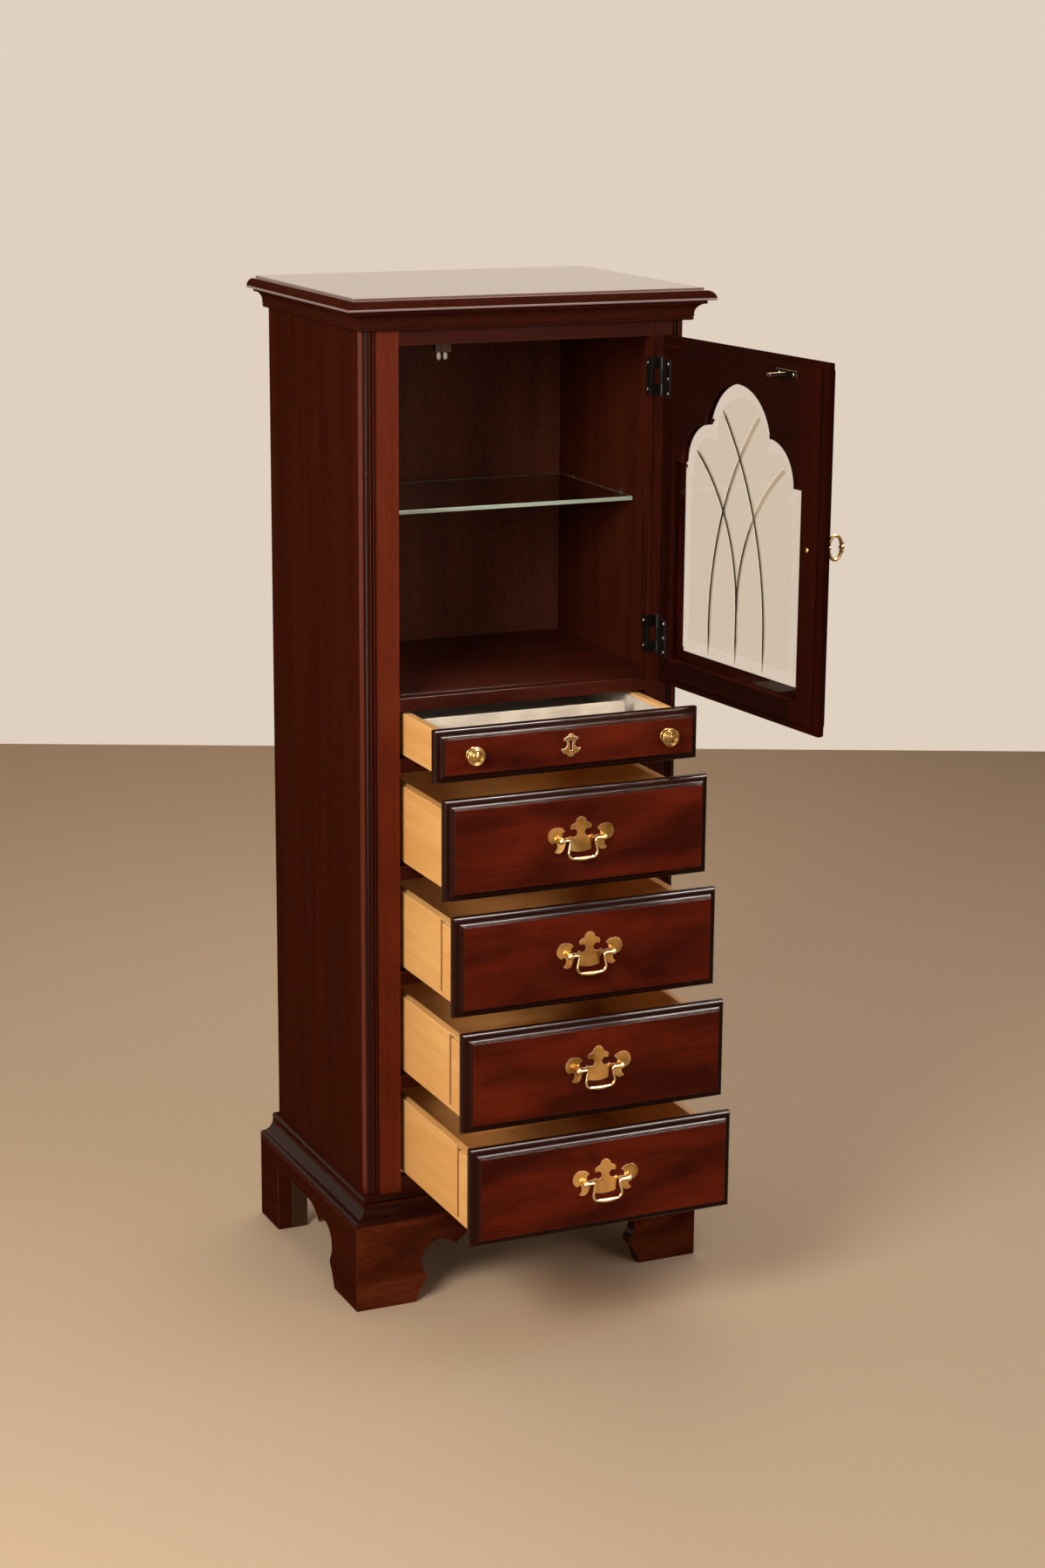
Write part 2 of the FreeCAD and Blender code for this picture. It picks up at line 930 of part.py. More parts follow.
def frame_leaf(middle):
    """Leaf that wraps the post's edge, with a knuckle at each end."""
    x, y = hinge_axis()
    z0 = middle - leaf_height / 2
    z1 = middle + leaf_height / 2
    inner = half_opening - leaf_thickness
    leaf = prism(
        level(z0),
        UP * leaf_height,
        (half_opening, front),
        (x, front),
        (x, front - leaf_thickness),
        (inner, front - leaf_thickness),
        (inner, front + frame_leaf_depth),
        (half_opening, front + frame_leaf_depth),
    )
    gap_low = z0 + knuckle_height
    gap_high = z1 - knuckle_height
    arm_edge = half_opening + leaf_thickness
    leaf = leaf.cut(box(arm_edge, x + barrel_radius, y - barrel_radius, front, gap_low, gap_high))
    for low, high in ((z0, gap_low), (gap_high, z1)):
        barrel, bore = knuckle(low, high)
        leaf = leaf.fuse(barrel).cut(bore)
    return leaf.removeSplitter().Solids[0]


def door_leaf_steps(pocket):
    """Section of the leaf let into the door: behind the lip, round the rabbet and onto the inner face."""
    lip_back = front - door_gap
    body = half_opening - body_clear
    face = lip_back + body_thickness
    x, y = hinge_axis()
    end = half_front if pocket else x
    under = body - leaf_thickness
    over = body_chamfer - leaf_thickness * math.tan(math.pi / 8)
    return [
        (end, lip_back),
        (end, lip_back - leaf_thickness),
        (under, lip_back - leaf_thickness),
        (under, face - body_chamfer),
        (under - body_chamfer, face),
        (body - door_leaf_width, face),
        (body - door_leaf_width, face + leaf_thickness),
        (body - over, face + leaf_thickness),
        (body, face + leaf_thickness - over),
        (body, lip_back),
    ]


def door_leaf(middle):
    """Door leaf with the middle knuckle."""
    x, y = hinge_axis()
    z0 = middle - leaf_height / 2
    z1 = middle + leaf_height / 2
    low = z0 + knuckle_height + knuckle_clear
    high = z1 - knuckle_height - knuckle_clear
    start, *steps = door_leaf_steps(pocket=False)
    leaf = prism(level(z0), UP * leaf_height, start, *steps)
    for cut_low, cut_high in ((z0, low), (high, z1)):
        leaf = leaf.cut(box(half_front, x + barrel_radius, y - barrel_radius, front, cut_low, cut_high))
    barrel, bore = knuckle(low, high)
    return leaf.fuse(barrel).cut(bore).removeSplitter().Solids[0]


def hinge_pin(middle):
    """Loose pin with a button head resting on the top knuckle."""
    x, y = hinge_axis()
    z0 = middle - leaf_height / 2
    z1 = middle + leaf_height / 2
    profile = [
        (0.0, z0),
        (pin_radius, z0),
        (pin_radius, z1),
        (pin_head_radius, z1),
        dome(pin_head_radius, z1, pin_head),
    ]
    return turned(Vector(x, y, 0), UP, profile)


def splay_block(front_y, depth, grow, half, low, high):
    """Four-sided cutter that narrows inwards to a rectangle."""
    corners = []
    for y, spread in ((front_y, grow), (front_y + depth, 0.0)):
        side = half + spread
        base = low - spread
        top = high + spread
        corners.append(outline(upright(y), (side, base), (side, top), (-side, top), (-side, base)))
    return Part.makeLoft(corners, True, True)


def splayed_sight(front_y, bottom):
    """Cutter for the splayed edge round the sight: blocks for the straight runs, cones for the arcs."""
    arch_centre = door_z1() - arch_top - arch_radius
    step_z = door_z1() - arch_top - lobe_step_below_arch
    shoulder_z = arch_centre + math.sqrt(arch_radius**2 - arch_shoulder**2)
    run = glass_setback - sight_edge
    depth = run + cut_past
    grow = sight_splay * depth / run
    start = front_y - cut_past
    inward = Vector(0, 1, 0)
    cutter = splay_block(start, depth, grow, sight_half_width, bottom, step_z)
    lobes = []
    for sense in (-1.0, 1.0):
        centre = Vector(sense * arch_shoulder, start, step_z)
        lobes.append(Part.makeCone(lobe_radius + grow, lobe_radius, depth, centre, inward))
    crown = Part.makeCone(arch_radius + grow, arch_radius, depth, Vector(0, start, arch_centre), inward)
    reach = arch_radius + 2 * grow
    crown = crown.cut(box(-reach, reach, start - cut_past, start + depth + cut_past, arch_centre - reach, shoulder_z))
    neck = box(-arch_shoulder, arch_shoulder, start, start + depth, step_z, shoulder_z)
    return cutter.fuse(lobes + [crown, neck])


def door_pieces():
    """Door frame, glass, beads and fittings, shut. Keyed by node name."""
    z0 = door_z0()
    z1 = door_z1()
    lip_back = front - door_gap
    face = lip_back + body_thickness
    body = half_opening - body_clear
    lip = moulded_board(half_front, z0, z1, lip_back)
    core = box(-body, body, lip_back, face, z0 + body_step, z1 - body_step)
    rim = [edge for edge in core.Edges if abs(edge.CenterOfMass.y - face) < 1e-6]
    blank = lip.fuse(core.makeChamfer(body_chamfer, rim))

    glass_back = lip_back - front_thickness + glass_setback + glass_thickness
    glass_front = glass_back - glass_thickness
    bottom = z0 + sight_bottom
    step_z = z1 - arch_top - lobe_step_below_arch
    through = Vector(0, front_thickness + body_thickness + 2 * cut_past, 0)
    sight_start, sight_steps = arch_steps(0.0, bottom)
    sight = prism(upright(lip_back - front_thickness - cut_past), through, sight_start, *sight_steps)
    side_lap = glass_side_lap + glass_clear
    slot_start, slot_steps = arch_steps(glass_lap + glass_clear, bottom - side_lap, side_lap)
    slot_depth = Vector(0, glass_thickness + glass_clear, 0)
    slot = prism(upright(glass_front), slot_depth, slot_start, *slot_steps)
    rabbet_side = sight_half_width + side_lap
    rabbet = box(-rabbet_side, rabbet_side, glass_front, face + cut_past, bottom - side_lap, step_z)
    jamb = box(sight_half_width, rabbet_side, glass_front, face + cut_past, step_z, step_z + side_lap)
    splay = splayed_sight(lip_back - front_thickness, bottom)
    frame = blank.cut(sight).cut(splay).cut(slot).cut(rabbet).cut(jamb).cut(mirrored(jamb))

    far = half_front + cut_past
    deep = (lip_back - front_thickness - cut_past, face + cut_past)
    stile = box(sight_half_width, far, *deep, z0 - cut_past, z1 + cut_past)
    upper = box(-sight_half_width, sight_half_width, *deep, step_z, z1 + cut_past)
    lower = box(-sight_half_width, sight_half_width, *deep, z0 - cut_past, bottom)
    hinge_stile = frame.common(stile)
    for middle in hinge_middles():
        start, *steps = door_leaf_steps(pocket=True)
        hinge_stile = hinge_stile.cut(prism(level(middle - leaf_height / 2), UP * leaf_height, start, *steps))

    bow_x = -(sight_half_width + half_front) / 2
    bow_z = z0 + bow_height_from_bottom
    screw_hole = rod(screw_radius + screw_clear, Vector(bow_x, deep[0], bow_z), Vector(bow_x, deep[1], bow_z))
    lock_stile = frame.common(mirrored(stile)).cut(screw_hole)

    return {
        "door_hinge_stile": [hinge_stile.Solids[0]],
        "door_lock_stile": [lock_stile.Solids[0]],
        "door_arched_rail": [frame.common(upper).Solids[0]],
        "door_bottom_rail": [frame.common(lower).Solids[0]],
        "door_glass": [door_glass(glass_front, bottom)],
        "glass_beads": glass_beads(glass_back + glass_clear, face, bottom, step_z + glass_side_lap),
        "door_pull": door_pull(bow_x, bow_z, lip_back - front_thickness, face),
        "catch_strike": [catch_strike(face)],
        "hinge_door_leaves": [door_leaf(middle) for middle in hinge_middles()],
    }


def door_glass(front_y, bottom):
    """Arched pane, its front bevelled back to a thin edge."""
    lap_start, lap_steps = arch_steps(glass_lap, bottom - glass_side_lap, glass_side_lap)
    bevel_depth = glass_thickness - glass_edge
    pane = prism(upright(front_y + bevel_depth), Vector(0, glass_edge, 0), lap_start, *lap_steps)
    outer_start, outer_steps = arch_steps(0.0, bottom)
    inner_start, inner_steps = arch_steps(-glass_bevel, bottom + glass_bevel)
    raised = Part.makeLoft(
        [
            outline(upright(front_y + bevel_depth), outer_start, *outer_steps),
            outline(upright(front_y), inner_start, *inner_steps),
        ],
        True,
        True,
    )
    return pane.fuse(raised).Solids[0]


def glass_beads(front_y, face, bottom, head):
    """Slim strips that hold the pane at its sides and foot, rounded inside and mitred at the lower corners."""
    outer = sight_half_width + glass_side_lap
    inner = outer - bead_width
    foot = bottom - glass_side_lap
    crest = foot + bead_width
    bulge = bead_round * (1 - math.sqrt(0.5))
    side = prism(
        level(foot),
        UP * (head - foot),
        (inner, front_y),
        (outer, front_y),
        (outer, face),
        (inner + bead_round, face),
        ((inner + bulge, face - bulge), (inner, face - bead_round)),
    )
    side_cut = prism(
        upright(front_y - cut_past),
        Vector(0, face - front_y + 2 * cut_past, 0),
        (outer, foot),
        (inner, crest),
        (inner, head),
        (outer, head),
    )
    lower = prism(
        sideways(-outer),
        Vector(2 * outer, 0, 0),
        (front_y, crest),
        (front_y, foot),
        (face, foot),
        (face, crest - bead_round),
        ((face - bulge, crest - bulge), (face - bead_round, crest)),
    )
    lower_cut = prism(
        upright(front_y - cut_past),
        Vector(0, face - front_y + 2 * cut_past, 0),
        (outer, foot),
        (inner, crest),
        (-inner, crest),
        (-outer, foot),
    )
    return pair(side.common(side_cut).Solids[0]) + [lower.common(lower_cut).Solids[0]]


def door_pull(x, z, face_y, inner_y):
    """Key-bow pull on the door's face, and the screw that holds it from inside."""
    axis = Vector(0, -1, 0)
    base = Vector(x, face_y, z)
    stem_end = bow_rose + bow_stem
    rose = [
        (0.0, 0.0),
        (bow_rose_radius, 0.0),
        (bow_rose_radius, bow_rose / 2),
        (bow_stem_radius, bow_rose),
        (bow_stem_radius, stem_end),
        (0.0, stem_end),
    ]
    knob = turned(base, axis, rose)
    middle = Vector(x, face_y - stem_end - bow_reach / 2 - bow_wire / 2, z)
    crest = middle + UP * (bow_height / 2)
    oval = Part.Ellipse(crest, middle + axis * (bow_reach / 2), middle)
    bow = wire_bar(Part.Wire([oval.toShape()]), bow_wire)
    grip = middle + axis * (bow_reach / 2)
    beads = [
        Part.makeSphere(bow_ball_radius, middle - axis * (bow_reach / 2)),
        Part.makeSphere(bow_bead_radius, grip),
    ]
    for sense in (-1.0, 1.0):
        start = grip + UP * (sense * bow_collar_out - bow_collar / 2)
        beads.append(rod(bow_collar_radius, start, start + UP * bow_collar))
    screw = [
        (0.0, 0.0),
        (screw_radius, 0.0),
        (screw_radius, inner_y - face_y),
        (screw_head_radius, inner_y - face_y),
        dome(screw_head_radius, inner_y - face_y, screw_head),
    ]
    return [knob.fuse([bow] + beads).Solids[0], turned(base, Vector(0, 1, 0), screw)]


def catch_strike(face):
    """Strike plate with a spear that runs between the rollers."""
    x = -catch_from_centre
    z = ceiling - roller_drop - roller_height / 2
    half = strike_width / 2
    rise = strike_height / 2
    plate = box(x - half, x + half, face, face + strike_plate, z - rise, z + rise)
    tip = frame_back + catch_setback + roller_radius + strike_reach_past
    neck_end = tip - 2 * strike_head
    spear = prism(
        level(z - roller_height / 4),
        UP * (roller_height / 2),
        (x - strike_blade / 2, face),
        (x - strike_blade / 2, neck_end),
        (x - strike_head / 2, neck_end + strike_head / 2),
        (x, tip),
        (x + strike_head / 2, neck_end + strike_head / 2),
        (x + strike_blade / 2, neck_end),
        (x + strike_blade / 2, face),
    )
    return plate.fuse(spear).removeSplitter().Solids[0]


def drawer_front(z0, opening_height, bottom_z):
    """Moulded front, grooved at the back for the drawer bottom."""
    board = moulded_board(half_front, z0 - lip_height, z0 + opening_height + lip_height, front)
    reach = half_box - box_side + groove_depth
    low = bottom_z - groove_clear
    high = bottom_z + bottom_thickness + groove_clear
    groove = box(-reach, reach, front - groove_depth, front, low, high)
    return board.cut(groove).Solids[0]


def drawer_box(z0, side_height, fillers):
    """Sides, back and bottom of a drawer, shut. Keyed by the last part of the node name."""
    foot = z0 + box_lift
    bottom_z = foot + bottom_height
    rear = front + box_length
    inner = half_box - box_side
    side = box(-half_box, -inner, front, rear, foot, foot + side_height)
    groove = box(
        -inner - groove_depth,
        -inner,
        front,
        rear,
        bottom_z - groove_clear,
        bottom_z + bottom_thickness + groove_clear,
    )
    sides = pair(side.cut(groove))
    if fillers:
        filler = box(
            -half_opening + filler_clear,
            -half_box,
            front,
            front + filler_length,
            foot + filler_rise,
            foot + side_height - filler_drop,
        )
        sides += pair(filler)
    reach = inner + groove_depth - groove_clear
    tongue = front - groove_depth + groove_clear
    panel = box(-reach, reach, tongue, rear, bottom_z, bottom_z + bottom_thickness)
    strip_inner = guide_width / 2 + guide_clear
    strip = box(
        strip_inner,
        strip_inner + runner_strip,
        front,
        rear,
        foot + runner_strip_clear,
        bottom_z,
    )
    panel_back = box(
        -inner,
        inner,
        rear - box_back,
        rear,
        bottom_z + bottom_thickness,
        foot + side_height - back_drop,
    )
    return {"sides": sides, "back": [panel_back], "bottom": [panel] + pair(strip)}


def drawer_guides():
    """Centre guides, one under each drawer, from the rail to the back."""
    guides = []
    for z in [shallow_bottom] + openings:
        head = z + box_lift + bottom_height - guide_rise_clear
        guides.append(box(-guide_width / 2, guide_width / 2, frame_back, panel_front, z - guide_below, head))
    return guides


def jewellery_tray(z0):
    """Lined tray with a cross divider that stops short of its right wall."""
    foot = z0 + box_lift + bottom_height + bottom_thickness
    head = z0 + box_lift + shallow_side_height - tray_below_side
    reach = half_box - box_side - tray_clear
    rear = front + box_length - box_back - tray_clear
    near = front + tray_clear
    inside = reach - tray_wall
    shell = box(-reach, reach, near, rear, foot, head)
    hollow = box(-inside, inside, near + tray_wall, rear - tray_wall, foot + tray_wall, head)
    bar_y = near + tray_divider
    bar = box(-inside, inside - tray_divider_gap, bar_y, bar_y + tray_wall, foot + tray_wall, head)
    return [shell.cut(hollow.cut(bar)).Solids[0]]


def knobs(z):
    """Two turned knobs: a stepped rose, a waisted neck and a ringed head with a button."""
    rose = knob_rose_radius
    head = knob_head_radius
    neck = knob_neck_radius
    face = knob_rose + knob_neck
    rim = knob_rim
    turn = math.sqrt(0.5)
    ring = head - 2 * rim - knob_ring
    profile = [
        (0.0, 0.0),
        (rose, 0.0),
        (rose, knob_rose - rim),
        ((rose - rim * (1 - turn), knob_rose - rim * (1 - turn)), (rose - rim, knob_rose)),
        (neck + rim, knob_rose),
        ((neck + rim * (1 - turn), knob_rose + rim * (1 - turn)), (neck, knob_rose + rim)),
        (neck, face - rim),
        ((neck + rim * (1 - turn), face - rim * (1 - turn)), (neck + rim, face)),
        (head - rim, face),
        ((head, face + rim), (head - rim, face + 2 * rim)),
        (ring + knob_ring, face + 2 * rim - knob_sink),
        ((ring, face + 2 * rim - knob_sink + knob_ring), (ring - knob_ring, face + 2 * rim - knob_sink)),
        (knob_button, face + 2 * rim - knob_sink),
        dome(knob_button, face + 2 * rim - knob_sink, knob_button_rise),
    ]
    spot = Vector(-knob_spacing / 2, front - front_thickness, z)
    return pair(turned(spot, Vector(0, -1, 0), profile))


def escutcheon(z):
    """Key plate: a crown over two horned shoulders, two horned ears and a round foot, pierced by the keyhole."""
    plane = upright(front - front_thickness)
    out = Vector(0, -escutcheon_thickness, 0)
    side = [
        (escutcheon_crown, z + escutcheon_crown_rise, escutcheon_half_height - escutcheon_crown_rise),
        (escutcheon_shoulder, z + escutcheon_shoulder_rise, escutcheon_brow_bow),
        (escutcheon_ear, z - escutcheon_ear_drop, -escutcheon_waist_bow),
        (escutcheon_foot, z - escutcheon_foot_drop, escutcheon_cheek_bow),
    ]
    start, steps = even_steps(side, escutcheon_half_height - escutcheon_foot_drop)
    plate = prism(plane, out, start, *steps)
    slot = keyhole_slot / 2
    eye_z = z + keyhole_eye_rise
    meet = eye_z - math.sqrt(keyhole_radius**2 - slot**2)
    keyhole = prism(
        plane,
        out,
        (-slot, z - keyhole_drop),
        (slot, z - keyhole_drop),
        (slot, meet),
        ((0.0, eye_z + keyhole_radius), (-slot, meet)),
    )
    return [plate.cut(keyhole).Solids[0]]


def shield_side(z):
    """Right side of the pull's shield, from its crown down past the round notch to its foot."""
    gate = math.radians(plate_notch_gate)
    notch_x = plate_notch_out + plate_notch_radius * math.cos(gate)
    notch_half = plate_notch_radius * math.sin(gate)
    notch_bow = plate_notch_radius * (1 + math.cos(gate))
    return [
        (plate_crown, z + plate_crown_rise, plate_top - plate_crown_rise),
        (plate_cusp, z + plate_cusp_rise, plate_cusp_bow),
        (plate_shoulder, z + plate_shoulder_rise, plate_shoulder_bow),
        (notch_x, z + plate_notch_rise + notch_half, 0.0),
        (notch_x, z + plate_notch_rise - notch_half, -notch_bow),
        (plate_horn, z + plate_horn_rise, 0.0),
        (plate_waist, z, 0.0),
        (plate_foot, z - plate_foot_drop, plate_flank_bow),
    ]


def wing(plane, z, out):
    """Right wing of the pull: an upper leaf and a lower lobe round the post, with bites between them."""
    start = (wing_start[0], z + wing_start[1])
    here = start
    steps = []
    for across, up, bow in wing_steps:
        end = (across, z + up)
        steps.append(bowed(here, end, bow))
        here = end
    steps.append(bowed(here, start, wing_notch_bow))
    return prism(plane, out, start, *steps)


def pull_plate(z):
    """Pierced back plate: a notched shield, a bridge and two leaf wings, and the two ball posts."""
    face_y = front - front_thickness
    out = Vector(0, -plate_thickness, 0)
    plane = upright(face_y)
    start, steps = even_steps(shield_side(z), plate_foot_bow)
    half = pull_spacing / 2
    bridge = box(-half, half, face_y - plate_thickness, face_y, z - bridge_height / 2, z + bridge_height / 2)
    plate = prism(plane, out, start, *steps).fuse([bridge] + pair(wing(plane, z, out)))
    plate = plate.fuse(pair(bail_post(half, z, face_y)))
    bore_end = half + pivot_depth
    bore_y = face_y - post_stand
    bore = rod(bail_radius + pivot_clear, Vector(-bore_end, bore_y, z), Vector(bore_end, bore_y, z))
    return [plate.cut(bore).removeSplitter().Solids[0]]


def bail_post(x, z, face_y):
    """Post with a ball head, standing on the plate."""
    neck = rod(post_radius, Vector(x, face_y, z), Vector(x, face_y - post_stand, z))
    ball = Part.makeSphere(post_ball_radius, Vector(x, face_y - post_stand, z))
    return neck.fuse(ball)


def bail(z):
    """Swan-neck bail whose stubs turn in the two posts, its bowed grip swelling to the middle."""
    end = pull_spacing / 2 + pivot_depth - 2 * pivot_clear
    low = z - bail_drop
    points = [
        (-end, z),
        (-pull_spacing / 2 + bail_stub, z),
        (-bail_foot, low),
        (0.0, low - bail_bow),
        (bail_foot, low),
        (pull_spacing / 2 - bail_stub, z),
        (end, z),
    ]
    bends = [bail_shoulder_bend, bail_foot_bend, bail_bow_bend, bail_foot_bend, bail_shoulder_bend]
    plane = upright(front - front_thickness - post_stand)
    bar = wire_bar(round_path(plane, points, bends), bail_radius)
    slope = math.atan2(bail_bow, bail_foot)
    sag = low - bail_bow + bail_bow_bend / math.cos(slope) - bail_bow_bend
    reach = bail_foot - bail_foot_bend
    rings = []
    for share in (-1.0, -0.5, 0.0, 0.5, 1.0):
        radius = bail_swell - (bail_swell - bail_radius * 0.8) * share**2
        height = sag + bail_bow * abs(share) ** 1.5 * reach / bail_foot
        rings.append(Part.Wire([Part.makeCircle(radius, plane(share * reach, height), Vector(1, 0, 0))]))
    grip = Part.makeLoft(rings, True, False)
    return [bar.fuse(grip).Solids[0]]


def drawer_nodes():
    """Every drawer's pieces at the place where the drawer stands pulled out."""
    nodes = {}
    rows = [("jewellery_drawer", shallow_bottom, shallow_opening, shallow_side_height)]
    for index, z in enumerate(openings):
        rows.append((f"drawer_{index + 1}", z, deep_opening, deep_side_height))
    for index, (name, z0, opening_height, side_height) in enumerate(rows):
        pieces = drawer_box(z0, side_height, fillers=index > filler_from)
        front_z = z0 + shallow_front_raise if index == 0 else z0
        pieces["front"] = [drawer_front(front_z, opening_height, z0 + box_lift + bottom_height)]
        middle = z0 + opening_height / 2
        if index == 0:
            pieces["tray"] = jewellery_tray(z0)
            pieces["knobs"] = knobs(middle + fittings_above_middle)
            pieces["escutcheon"] = escutcheon(middle + fittings_above_middle)
        else:
            pieces["pull_plate"] = pull_plate(middle + pull_above_middle)
            pieces["bail"] = bail(middle + pull_above_middle)
        out = Vector(0, -closed_gap - drawer_pulls[index], 0)
        for piece, shapes in pieces.items():
            nodes[f"{name}_{piece}"] = moved(shapes, out)
    return nodes


def door_nodes():
    """The door's pieces, swung open about the hinge pins."""
    x, y = hinge_axis()
    nodes = {}
    for name, shapes in door_pieces().items():
        for shape in shapes:
            shape.rotate(Vector(x, y, 0), UP, door_angle)
        nodes[name] = shapes
    return nodes


def inside_panel(z0, z1):
    """A level board between the sides, from the front frame to the back."""
    return box(-half_inside, half_inside, frame_back, panel_front, z0, z1)


def case_nodes():
    """Everything that stays still."""
    base_front, base_sides = base_boards()
    catch, rollers = roller_catch()
    return {
        "top_board": top_board(),
        "crown_moulding": crown_moulding(),
        "side_panels": side_panels(),
        "front_posts": front_posts(),
        "front_rails": front_rails(),
        "back_panel": [box(-half_inside, half_inside, panel_front, back - back_inset, base_height, case_top)],
        "cupboard_ceiling": [inside_panel(ceiling, ceiling + ceiling_thickness)],
        "cupboard_floor": [inside_panel(floor_bottom, floor_top)],
        "drawer_guides": drawer_guides(),
        "base_moulding": base_moulding(),
        "base_front": base_front,
        "base_sides": base_sides,
        "base_blocks": corner_blocks(),
        "glass_shelf": glass_shelf(),
        "shelf_pins": shelf_pins(),
        "hinge_frame_leaves": [frame_leaf(middle) for middle in hinge_middles()],
        "hinge_pins": [hinge_pin(middle) for middle in hinge_middles()],
        "catch_body": [catch],
        "catch_roller_left": [rollers[0]],
        "catch_roller_right": [rollers[1]],
    }


def main():
    """Builds every node and writes one file each."""
    os.makedirs("parts", exist_ok=True)
    nodes = {**case_nodes(), **door_nodes(), **drawer_nodes()}
    for name, shapes in nodes.items():
        shape = shapes[0] if len(shapes) == 1 else Part.makeCompound(shapes)
        shape.exportStep(f"parts/{name}.step")
    print(len(nodes), "nodes,", sum(len(shapes) for shapes in nodes.values()), "solids")


main()
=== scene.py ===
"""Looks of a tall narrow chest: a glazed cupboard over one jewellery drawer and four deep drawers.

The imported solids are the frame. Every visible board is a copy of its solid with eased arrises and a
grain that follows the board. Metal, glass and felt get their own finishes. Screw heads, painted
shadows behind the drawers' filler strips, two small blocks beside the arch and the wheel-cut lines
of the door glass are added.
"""

import json
import logging
import math
from collections.abc import Callable, Mapping, Sequence
from dataclasses import dataclass, field
from enum import Enum, IntEnum
from typing import Any

import bmesh
import bpy
from bmesh.types import BMesh, BMEdge, BMFace, BMVert
from mathutils import Matrix, Vector

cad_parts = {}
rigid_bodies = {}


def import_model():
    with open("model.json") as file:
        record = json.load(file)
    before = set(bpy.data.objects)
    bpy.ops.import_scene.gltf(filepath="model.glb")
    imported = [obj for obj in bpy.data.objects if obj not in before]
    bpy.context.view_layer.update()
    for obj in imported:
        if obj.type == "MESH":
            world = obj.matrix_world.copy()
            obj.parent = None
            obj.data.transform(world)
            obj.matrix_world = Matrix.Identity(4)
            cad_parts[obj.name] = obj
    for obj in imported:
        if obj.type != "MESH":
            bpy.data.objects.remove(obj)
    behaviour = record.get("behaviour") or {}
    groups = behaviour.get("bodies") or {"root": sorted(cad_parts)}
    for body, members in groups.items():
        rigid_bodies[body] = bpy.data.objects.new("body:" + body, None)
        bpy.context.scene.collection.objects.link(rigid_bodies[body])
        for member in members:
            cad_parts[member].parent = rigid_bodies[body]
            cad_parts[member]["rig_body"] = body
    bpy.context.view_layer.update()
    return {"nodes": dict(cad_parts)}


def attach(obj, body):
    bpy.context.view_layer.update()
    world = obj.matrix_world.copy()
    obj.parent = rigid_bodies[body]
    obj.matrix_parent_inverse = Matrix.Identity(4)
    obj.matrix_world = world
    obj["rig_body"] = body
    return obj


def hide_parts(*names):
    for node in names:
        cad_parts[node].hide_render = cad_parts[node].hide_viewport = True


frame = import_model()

MM = 0.001
log = logging.getLogger("chest")

# Limits for meshes: points that are one, faces that are one flat, and how near a flat is to square.
JOIN_MM = 0.001
FLAT_DEG = 0.4
SQUARE_COS = 0.99
# Direction along which no two points of a screw or a cut line have the same place.
ORDER_ALONG = Vector((1.0, math.sqrt(2.0), math.sqrt(3.0)))
# How far the door stands open at rest, and the heights of its hinges.
DOOR_OPEN_DEG = 95.5
HINGE_HEIGHTS_MM = (924.3, 1280.5)
# How many deep drawers there are, numbered from the top.
DEEP_DRAWERS = 4
# Fixed steps that give each board its own place in the tree and its own tone.
LETTER_STEP, BOARD_STEP, TONE_STEP = 0.137, 0.618, 5.3
TREE_STEPS = (1.0, 1.7, 2.3)
TREE_M = 3.0
# Levels between which nearly all of a noise lies.
NOISE_SPAN = (0.3, 0.7)
# Sockets of a colour Mix node, which share their names with hidden ones.
SHARE, GROUND, LAYER = 0, 6, 7

Inputs = Mapping[str | int, Any] | Sequence[Any]


class Grain(Enum):
    """Direction of a board's fibres in the chest at rest."""

    ACROSS = (1.0, 0.0, 0.0)
    DEEP = (0.0, 1.0, 0.0)
    UP = (0.0, 0.0, 1.0)
    DOOR_WIDTH = (
        math.cos(math.radians(DOOR_OPEN_DEG)),
        math.sin(math.radians(DOOR_OPEN_DEG)),
        0.0,
    )

    def axes(self) -> Matrix:
        """Axes of a board with this grain.

        Returns:
            Rows that turn a point of the chest into (across, across, along) of the board.
        """
        along = Vector(self.value)
        side = along.orthogonal().normalized()
        return Matrix((side, along.cross(side), along))


class Facing(Enum):
    """Which way a screw head looks."""

    FORWARD = (0.0, -1.0, 0.0)
    LEFT = (-1.0, 0.0, 0.0)
    BACK = (0.0, 1.0, 0.0)


class Surface(IntEnum):
    """Place of a face's finish among the finishes of a board or plate."""

    FLAT = 0
    MOULDED = 1
    EDGE = 2


# Through the thickness of the door as it stands at rest.
DOOR_THROUGH = Vector(Grain.DOOR_WIDTH.value).cross(Vector(Grain.UP.value))


def colour(code: str) -> tuple[float, float, float, float]:
    """Turns an sRGB hex code into linear red, green, blue and an alpha of one.

    Args:
        code: Six hex digits with a leading hash sign.

    Returns:
        The linear colour that Blender's sockets take.
    """
    parts = [int(code[i : i + 2], 16) / 255.0 for i in (1, 3, 5)]
    linear = [p / 12.92 if p <= 0.04045 else ((p + 0.055) / 1.055) ** 2.4 for p in parts]
    return (linear[0], linear[1], linear[2], 1.0)


def feed(node: bpy.types.Node, inputs: Inputs) -> None:
    """Sets the sockets of a node to values, or links them.

    Args:
        node: Node whose sockets are fed.
        inputs: In the sockets' order, or by name or place: a value, a socket to link from, or a
            node to link from by its first output in use.
    """
    for key, value in inputs.items() if isinstance(inputs, Mapping) else enumerate(inputs):
        if isinstance(value, bpy.types.Node):
            value = next(socket for socket in value.outputs if socket.enabled)
        if isinstance(value, bpy.types.NodeSocket):
            node.id_data.links.new(value, node.inputs[key])
        else:
            node.inputs[key].default_value = value


